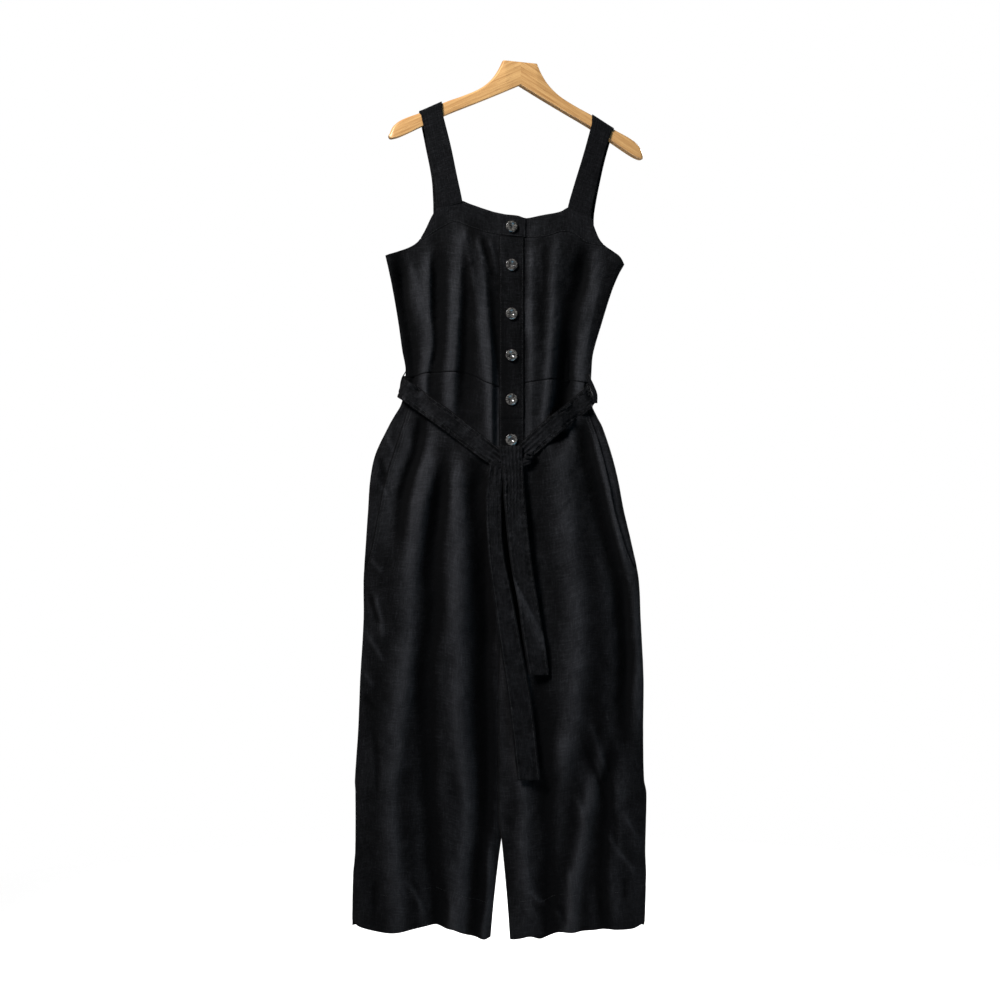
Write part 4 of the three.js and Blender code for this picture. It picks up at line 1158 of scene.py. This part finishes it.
def knotLump(part):
    # rounded box with soft gathers: powers of sine and cosine below 1 fill out its corners
    a = np.linspace(0, 2 * np.pi, 73)[:-1][None, :]
    b = np.linspace(-np.pi / 2, np.pi / 2, 33)[:, None]

    def rounded(value, power=0.72):
        return np.sign(value) * np.abs(value) ** power
    u = part["width"] / 2 * rounded(np.cos(b)) * rounded(np.cos(a))
    w = part["height"] / 2 * rounded(np.sin(b)) + 0 * a
    tilt = math.radians(part["tilt"])
    x = part["x"] + u * math.cos(tilt) - w * math.sin(tilt)
    z = part["z"] + u * math.sin(tilt) + w * math.cos(tilt)
    out = part["depth"] / 2 * rounded(np.cos(b)) * rounded(np.sin(a))
    gathers = 1 + 0.16 * np.cos(w * 1.1) + 0.1 * wander(x, z, 5, 17)
    y = shear(x, z) - part["back"] - part["depth"] / 2 + out * gathers
    points = np.stack((x, y, z), axis=-1).reshape(-1, 3)
    return points, gridFaces(33, 72, closed=True), np.stack((x, z), axis=-1)


def knotRing():
    # a small ring of belt seen through its dark middle, its section a flattened circle
    c = knotCurl
    a = np.linspace(0, 2 * np.pi, 49)[:-1][:, None]
    b = np.linspace(0, 2 * np.pi, 21)[:-1][None, :]
    wide = c["tube"] * (1 + 0.25 * np.sin(a * 2))
    x = c["x"] + (c["width"] - c["tube"] + wide * 0.8 * np.cos(b)) * np.cos(a)
    z = c["z"] + (c["height"] - c["tube"] + wide * 0.8 * np.cos(b)) * np.sin(a)
    y = shear(x, z) - c["back"] + wide * 1.3 * np.sin(b)
    i, j = np.arange(48)[:, None], np.arange(20)[None, :]
    i2, j2 = (i + 1) % 48, (j + 1) % 20
    faces = np.stack((i * 20 + j, i2 * 20 + j, i2 * 20 + j2, i * 20 + j2), axis=-1).reshape(-1, 4)
    return np.stack((x, y, z), axis=-1).reshape(-1, 3), faces, np.stack((x, z), axis=-1)


def knot():
    points, faces, uvs, start = [], [], [], 0
    for made in [knotLump(part) for part in knotParts] + [knotRing()]:
        where, corners, uv = made
        first, second, third = (where[corners[:, k]] for k in range(3))
        outward = np.einsum("ij,ij->i", first, np.cross(second - first, third - first)).sum()
        points.append(where)
        faces.append((corners if outward > 0 else corners[:, ::-1]) + start)
        uvs.append(uv.reshape(-1, 2))
        start += len(where)
    points = np.concatenate(points)
    piece = makeMesh("beltKnot", points * mm, np.concatenate(faces), np.concatenate(uvs) * mm,
                     np.full(len(points), 0.45))
    return finishPiece(piece, beltLinen, ["belt_knot"])


knot()

loopRoute = dict(
    left=[(-185.5, -506), (-187.5, -512), (-192.8, -521), (-195.6, -533), (-196.2, -546), (-194.4, -556)],
    right=[(110, -509), (113, -519), (119.0, -532), (124.6, -547), (125.0, -562)],
    across=dict(left=(-0.25, 0.968, 0), right=(0.93, 0.368, 0)),
    forward=dict(left=[0, 0, -1, -2, -2, -1], right=[-7, -9, -10, -9, -6]),
    width=dict(left=7, right=8.5),
    thickness=1.2,
)


def beltLoop(side):
    points = np.array([(x, float(shear(x, z)) + y, z)
                       for (x, z), y in zip(loopRoute[side], loopRoute["forward"][side])])
    path = smoothPath(points, 60)
    along = unit(np.gradient(path, axis=0))
    across = np.tile(np.array(loopRoute["across"][side]), (60, 1))
    outward = unit(np.cross(across, along)) * signOf(side)
    name = "beltLoop" + side.capitalize()
    piece = strip(name, path, across, outward, loopRoute["width"][side], loopRoute["thickness"], 9,
                  lambda s, t: 0.12 * wander(s + 9, t, 2.5, 6))
    finishPiece(piece, linen, ["belt_loop_" + side])


for side in ("left", "right"):
    beltLoop(side)
print("belt made")


# Buttons

buttonSize = dict(
    diameter=19,
    x=-13.5,
    heights=[-277, -340, -419, -486, -558, -624],
    hole=1.5,  # from the middle, across and up
    threadHeight=1.75,  # of the thread above the seat
    threadShift=0.35,
)


def buttonMaterial():
    m = Material("buttonGloss", Roughness=0.3, Specular_IOR_Level=0.35, Coat_Weight=0.12, Coat_Roughness=0.12)
    place = m.node("TexCoord", None, 3)
    # painted highlight: a pale ring near the button's edge, from its mesh
    rimHighlight = m.node("Attribute", dict(attribute_name="wearAndShading"), 2)
    swirl = m.noise(m.stretch(place, (1, 1, 2.5)), 260.0, 4.0, 0.6)
    paleness = (swirl.ramp(0.44, 0.62) * 0.7 + rimHighlight * 0.22).clamp()
    m.set("Base Color", m.blendColours(paleness, (0.004, 0.004, 0.0042, 1), (0.085, 0.079, 0.072, 1)))
    m.set("Roughness", 0.13 + swirl * 0.14)
    return m.data


buttonGloss = buttonMaterial()
buttonProfile = dict(
    r=[0, 7.4, 8.8, 9.4, 9.5, 9.45, 9.3, 9.0, 8.2, 7.4, 6.8, 6.2, 5.4, 4.6, 3.8, 3.0, 2.2, 1.4, 0.7, 0.001],
    h=[0, 0, 0.1, 0.4, 1.6, 2.7, 3.0, 3.12, 3.3, 3.42, 3.45, 3.4, 3.2, 2.98, 2.7, 2.33, 1.95, 1.62, 1.4,
       1.33],
)


def button(index, z):
    # the profile turned about the button's axis, seated on the placket and facing as it does there
    turned = math.radians(float(curve(turn, "z", "degrees", z)))
    reach = buttonSize["diameter"] / 2
    dx, dz = np.meshgrid([-reach, 0, reach], [-reach, 0, reach])
    x = buttonSize["x"] + dx * math.cos(turned)
    y = surface("front", x, z + dz, 2 * cloth["wall"] + cloth["gap"])
    seat = (y - (x - buttonSize["x"]) * math.tan(turned)).min() - 0.1
    angle = np.linspace(0, 2 * np.pi, 65)[:-1][None, :]
    r, h = np.array(buttonProfile["r"])[:, None], np.array(buttonProfile["h"])[:, None]
    local = np.stack((r * np.cos(angle), -h + 0 * angle, r * np.sin(angle)), axis=-1)
    cosine, sine = math.cos(turned), math.sin(turned)
    spin = np.array([[cosine, sine, 0], [-sine, cosine, 0], [0, 0, 1]])
    centre = np.array([buttonSize["x"], seat, z])
    points = (local.reshape(-1, 3) @ spin + centre) * mm
    faces = gridFaces(len(r), 64, closed=True)
    # painted highlight: a pale ring near the edge, lighter on one side and turned a little from button to
    # button
    rimHighlight = np.exp(-((r - 6.9) / 0.8) ** 2) * (0.65 + 0.35 * np.cos(angle - 2.3 + 0.7 * index))
    piece = makeMesh(f"button{index}", points, faces, wearAndShading=rimHighlight.ravel())
    finishPiece(piece, buttonGloss, [f"button_{index}"])
    hole, up = buttonSize["hole"], -buttonSize["threadHeight"]
    bars = [[np.array([toward * hole, up, end * hole]) @ spin + centre for end in (-1, 1)]
            for toward in (-1, 1)]
    return bars, spin


def lozenges(name, starts, ends, normals, width, height):
    # each stitch is a flat eight-sided lozenge from start to end, raised along its normal
    middle = (starts + ends) / 2
    sideways = unit(np.cross(ends - starts, normals)) * width / 2
    top, low = middle + normals * height, middle - normals * height * 0.6
    points = np.stack((starts, ends, middle + sideways, middle - sideways, top, low), axis=1)
    corners = np.array([(0, 2, 4), (2, 1, 4), (1, 3, 4), (3, 0, 4),
                        (2, 0, 5), (1, 2, 5), (3, 1, 5), (0, 3, 5)])
    faces = (corners[None] + 6 * np.arange(len(points))[:, None, None]).reshape(-1, 3)
    piece = makeMesh(name, points.reshape(-1, 3) * mm, faces)
    return finishPiece(piece, thread)


barStarts, barEnds, barNormals = [], [], []
for index, z in enumerate(buttonSize["heights"], 1):
    bars, spin = button(index, z)
    for start, end in bars:
        for sign in (-1, 1):
            shift = np.array([sign * buttonSize["threadShift"], 0, 0]) @ spin
            barStarts.append(start + shift)
            barEnds.append(end + shift)
            barNormals.append(np.array([0, -1, 0]) @ spin)
lozenges("buttonThread", np.array(barStarts), np.array(barEnds), np.array(barNormals), 0.75, 0.5)
print("buttons made")


# Stitching

stitch = dict(length=2.1, pitch=2.9, width=0.45, height=0.28)


def stitchRow(points, normals):
    # stitches of even length along a line of points
    length = runAlong(points)
    starts = np.arange(0, length[-1] - stitch["length"], stitch["pitch"])

    def at(place, values):
        return np.stack([np.interp(place, length, values[:, k]) for k in range(3)], axis=-1)
    ends = starts + stitch["length"]
    return at(starts, points), at(ends, points), unit(at(starts + stitch["length"] / 2, normals))


def rowOnFace(face, x, z, lift, side=None):
    points = np.stack((x, surface(face, x, z, cloth["wall"] + lift, side), z), axis=-1)
    normals = np.tile((0.0, float(signOf(face)), 0.0), (len(x), 1))
    return stitchRow(points + normals * 0.04, normals)


def sew(name, rows):
    starts, ends, normals = (np.concatenate(parts) for parts in zip(*rows))
    lozenges(name, starts, ends, normals, stitch["width"], stitch["height"])


rows = []
for start, end, lineOf, away in ((-155, 5, yokeLine, 1.8), (14, 128, yokeLine, 1.8),
                                 (-94, 8, frontTop, -2.5), (14, 81, frontTop, -2.5)):
    x = np.linspace(start, end, 400)
    rows.append(rowOnFace("front", x, lineOf(x) + away, yokeCross(x, 0) * (end < 10)))
z = np.linspace(-296, -664, 900)
for at in (cloth["placketLeft"] + cloth["placketStitch"], cloth["placketRight"] - cloth["placketStitch"]):
    x = np.full(z.shape, float(at))
    rows.append(rowOnFace("front", x, z, placketRelief(x, z)))
sew("stitchesFront", rows)

rows = []
for side in ("left", "right"):
    inner = middleSeam(side, np.array(-1370.0)) + 4 * signOf(side)
    x = np.linspace(sideSeam(side, -1370) * 0.995, inner, 700)
    drop = hemLine(x)
    rows.append(rowOnFace("front", x, drop + cloth["hemHeight"], 0 * x, side))
    rows.append(rowOnFace("back", x, 0 * x + cloth["backHem"] + cloth["hemHeight"], 0 * x, side))
    z = np.linspace(-532, -826, 700)
    inward = -3 * signOf(side)
    for step in (1, 2.6):
        line = pocketLine(side, z) + inward * step
        rows.append(rowOnFace("front", line, z, 0 * z, side))
sew("stitchesTrousers", rows)

rows = []
for at in [sign * row for row in beltSize["stitchRows"] for sign in (-1, 1)]:
    s = at * beltWidths[0] / beltSize["width"]
    t = np.linspace(0, runAlong(beltPath)[-1], len(beltPath))
    lift = beltSize["thickness"] + beltRelief(s, t)
    rows.append(stitchRow(beltPath + beltAcross * s[:, None] + beltOutward * lift[:, None], beltOutward))
for line in tailEdges:
    rows.append(stitchRow(line, np.tile((0.0, -1.0, 0.0), (len(line), 1))))
sew("stitchesBelt", rows)
print("stitches made")


# Hanger: two arms meeting under a flat neck, sections across each arm are rounded rectangles

def woodMaterial():
    m = Material("lightWood", Roughness=0.42, Coat_Weight=0.25, Coat_Roughness=0.2, Specular_IOR_Level=0.4)
    uv = m.node("TexCoord", None, 2)
    broad = m.noise(m.stretch(uv, (7, 150, 1)), 1.0, 4.0, 0.6)
    grain = m.noise(m.stretch(uv, (14, 430, 1)), 1.0, 3.0, 0.6)
    pores = m.noise(m.stretch(uv, (45, 950, 1)), 1.0, 2.0, 0.5)
    tone = (broad.ramp(0.36, 0.66) * 0.55 + grain.ramp(0.38, 0.64) * 0.45).clamp()
    base = m.blendColours(tone, (0.22, 0.104, 0.032, 1), (0.40, 0.233, 0.092, 1))
    m.set("Base Color", m.blendColours(pores.ramp(0.6, 0.72) * 0.6, base, (0.145, 0.064, 0.022, 1)))
    m.set("Roughness", 0.4 + pores * 0.15)
    m.set("Normal", m.bump(pores, 0.0002, 0.4))
    return m.data


def drill(piece, radius, depth):
    # the hole for the hook's shank, from 1 mm above the neck's top down to depth - 1 mm below it
    bpy.ops.mesh.primitive_cylinder_add(vertices=32, radius=radius, depth=depth,
                                        location=(0, 0, mm - depth / 2))
    bit = bpy.context.object
    cut = piece.modifiers.new("socket", "BOOLEAN")
    cut.operation, cut.solver, cut.object = "DIFFERENCE", "EXACT", bit
    graph = bpy.context.evaluated_depsgraph_get()
    piece.data = bpy.data.meshes.new_from_object(piece.evaluated_get(graph))
    piece.modifiers.clear()
    bpy.data.objects.remove(bit)


def hanger():
    # one run from the left tip to the right tip; each section is a rounded rectangle from the under edge
    # to the top edge, drawn in at the tips
    h = hangerShape
    closing = h["reach"] - h["tip"]
    tip = h["reach"] - h["tip"] * np.cos(np.linspace(0, np.pi / 2, 14))[1:]
    arm = np.linspace(h["neck"], closing, 110)
    half = np.concatenate(([0.04], np.linspace(0, h["neck"], 8)[1:-1], arm, tip))
    out = np.concatenate((-half[::-1], half))
    along = np.abs(out)
    top = np.where(along < h["neck"], 0, curve(h, "along", "top", along))
    under = curve(dict(a=h["underAlong"], z=h["under"]), "a", "z", along)
    left = np.clip((h["reach"] - along) / h["tip"], 0, 1)
    close = np.sqrt(left * (2 - left))
    middle, tall = (top + under) / 2, (top - under) / 2 * np.maximum(close, 0.02)
    middle = mix(h["tipHeight"], middle, np.where(along > closing, close, 1))
    radii = [h["edgeRadius"], h["edgeRadius"], h["lowerRadius"], h["lowerRadius"]]
    radius = np.minimum(np.repeat(radii, 7)[None, :], tall[:, None])
    thick = h["halfThickness"] * (0.35 + 0.65 * np.maximum(close, 0.02))
    angle = (np.linspace(0, np.pi / 2, 7)[None, :] + np.arange(4)[:, None] * np.pi / 2).ravel()
    alongY = np.repeat([1, -1, -1, 1], 7)[None, :]
    alongZ = np.repeat([1, 1, -1, -1], 7)[None, :]
    ys = (thick[:, None] - radius) * alongY + radius * np.cos(angle)[None, :]
    zs = (tall[:, None] - radius) * alongZ + radius * np.sin(angle)[None, :]
    yaw, slope = math.radians(h["yaw"]), math.radians(h["grainSlope"])
    u, z = out[:, None], middle[:, None] + zs
    x, y = u * math.cos(yaw) - ys * math.sin(yaw), u * math.sin(yaw) + ys * math.cos(yaw)
    points = np.stack((x, y, z), axis=-1)
    # the grain follows each arm and meets in a mitre at the middle
    run, side = along[:, None], np.sign(u)
    uv = np.stack((run * math.cos(slope) - z * math.sin(slope) + side * 400,
                   run * math.sin(slope) + z * math.cos(slope) + ys * 0.7 + side * 90), axis=-1)
    columns, count = points.shape[:2]
    body = gridFaces(columns, count, closed=True)
    j = np.arange(count)
    last = (columns - 1) * count
    size = columns * count
    caps = (np.stack(((j + 1) % count, j, np.full(count, size)), axis=-1),
            np.stack((last + j, last + (j + 1) % count, np.full(count, size + 1)), axis=-1))
    faces = np.concatenate((body[:, [0, 1, 2]], body[:, [0, 2, 3]], *caps))
    ends = np.stack((points[0].mean(0), points[-1].mean(0)))
    uvs = np.concatenate((uv.reshape(-1, 2), np.stack((uv[0].mean(0), uv[-1].mean(0)))))
    piece = makeMesh("hanger", np.concatenate((points.reshape(-1, 3), ends)) * mm, faces, uvs * mm)
    drill(piece, h["socketRadius"] * mm, h["socketDepth"] * mm)
    return finishPiece(piece, woodMaterial(), ["hanger"])


hanger()
print("hanger made")


# Stage: a pale floor below, soft light, and the camera at the photograph's view

stageSize = dict(floor=-1.8, radius=2.6, worldSeen=1.0, worldLight=0.022)
view = dict(place=(-0.0322, -2.52, -0.7219), sensor=36, lens=54.98)
lights = [
    dict(name="key", place=(-1.15, -1.65, 0.85), aim=(0.34, 0, -0.58), size=0.7, power=42, spread=76),
    dict(name="fill", place=(0.9, -2.4, -1.4), aim=(0, 0, -1.1), size=0.9, power=16,
         colour=(0.24, 0.68, 1)),
    dict(name="back", place=(1.5, 1.9, 0.4), aim=(0, 0, -0.7), size=0.9, power=300),
]


def floor():
    r = np.linspace(0.001, stageSize["radius"], 24)[:, None]
    a = np.linspace(0, 2 * np.pi, 97)[:-1][None, :]
    points = np.stack((r * np.cos(a), r * np.sin(a), stageSize["floor"] + 0 * r * a), axis=-1).reshape(-1, 3)
    piece = makeMesh("floor", points, gridFaces(24, 96, closed=True))
    m = Material("paleFloor", Roughness=0.9, Base_Color=(0.86, 0.86, 0.86, 1), Specular_IOR_Level=0.0)
    place = m.node("TexCoord", None, 3)
    away = m.node("VectorMath", dict(operation="LENGTH"), 1, s0=m.stretch(place, (1, 1, 0)))
    clear = m.node("BsdfTransparent")
    cover = Value(m.tree, m.shader.outputs[0])
    fade = m.node("MixShader", Fac=away.ramp(0.6, 2.4), s1=cover, s2=clear)
    out = next(n for n in m.tree.nodes if n.type == "OUTPUT_MATERIAL")
    m.tree.links.new(fade.socket, out.inputs[0])
    m.set("Roughness", 0.88 + m.noise(place, 3.0) * 0.05)
    piece.data.materials.append(m.data)


def light(name, place, aim, size, power, colour=(1, 1, 1), spread=180):
    data = bpy.data.lights.new(name, "AREA")
    data.spread = math.radians(spread)
    data.size, data.energy, data.color = size, power, colour
    made = bpy.data.objects.new(name, data)
    bpy.context.scene.collection.objects.link(made)
    made.location = place
    direction = np.array(aim) - np.array(place)
    made.rotation_euler = Vector(direction).to_track_quat("-Z", "Y").to_euler()


def world():
    made = bpy.data.worlds.new("studio")
    bpy.context.scene.world = made
    made.use_nodes = True
    tree = made.node_tree
    back = next(n for n in tree.nodes if n.type == "BACKGROUND")
    back.inputs["Color"].default_value = (1, 1, 1, 1)
    seen = tree.nodes.new("ShaderNodeLightPath").outputs["Is Camera Ray"]
    lit = stageSize["worldLight"]
    strength = Value(tree, seen) * (stageSize["worldSeen"] - lit) + lit
    tree.links.new(strength.socket, back.inputs["Strength"])


def camera():
    data = bpy.data.cameras.new("camera")
    data.sensor_width, data.lens = view["sensor"], view["lens"]
    made = bpy.data.objects.new("camera", data)
    bpy.context.scene.collection.objects.link(made)
    made.location = view["place"]
    made.rotation_euler = (math.pi / 2, 0, 0)
    bpy.context.scene.camera = made


floor()
world()
for lamp in lights:
    light(**lamp)
camera()
bpy.context.scene.view_settings.view_transform = "Standard"
print("stage made")
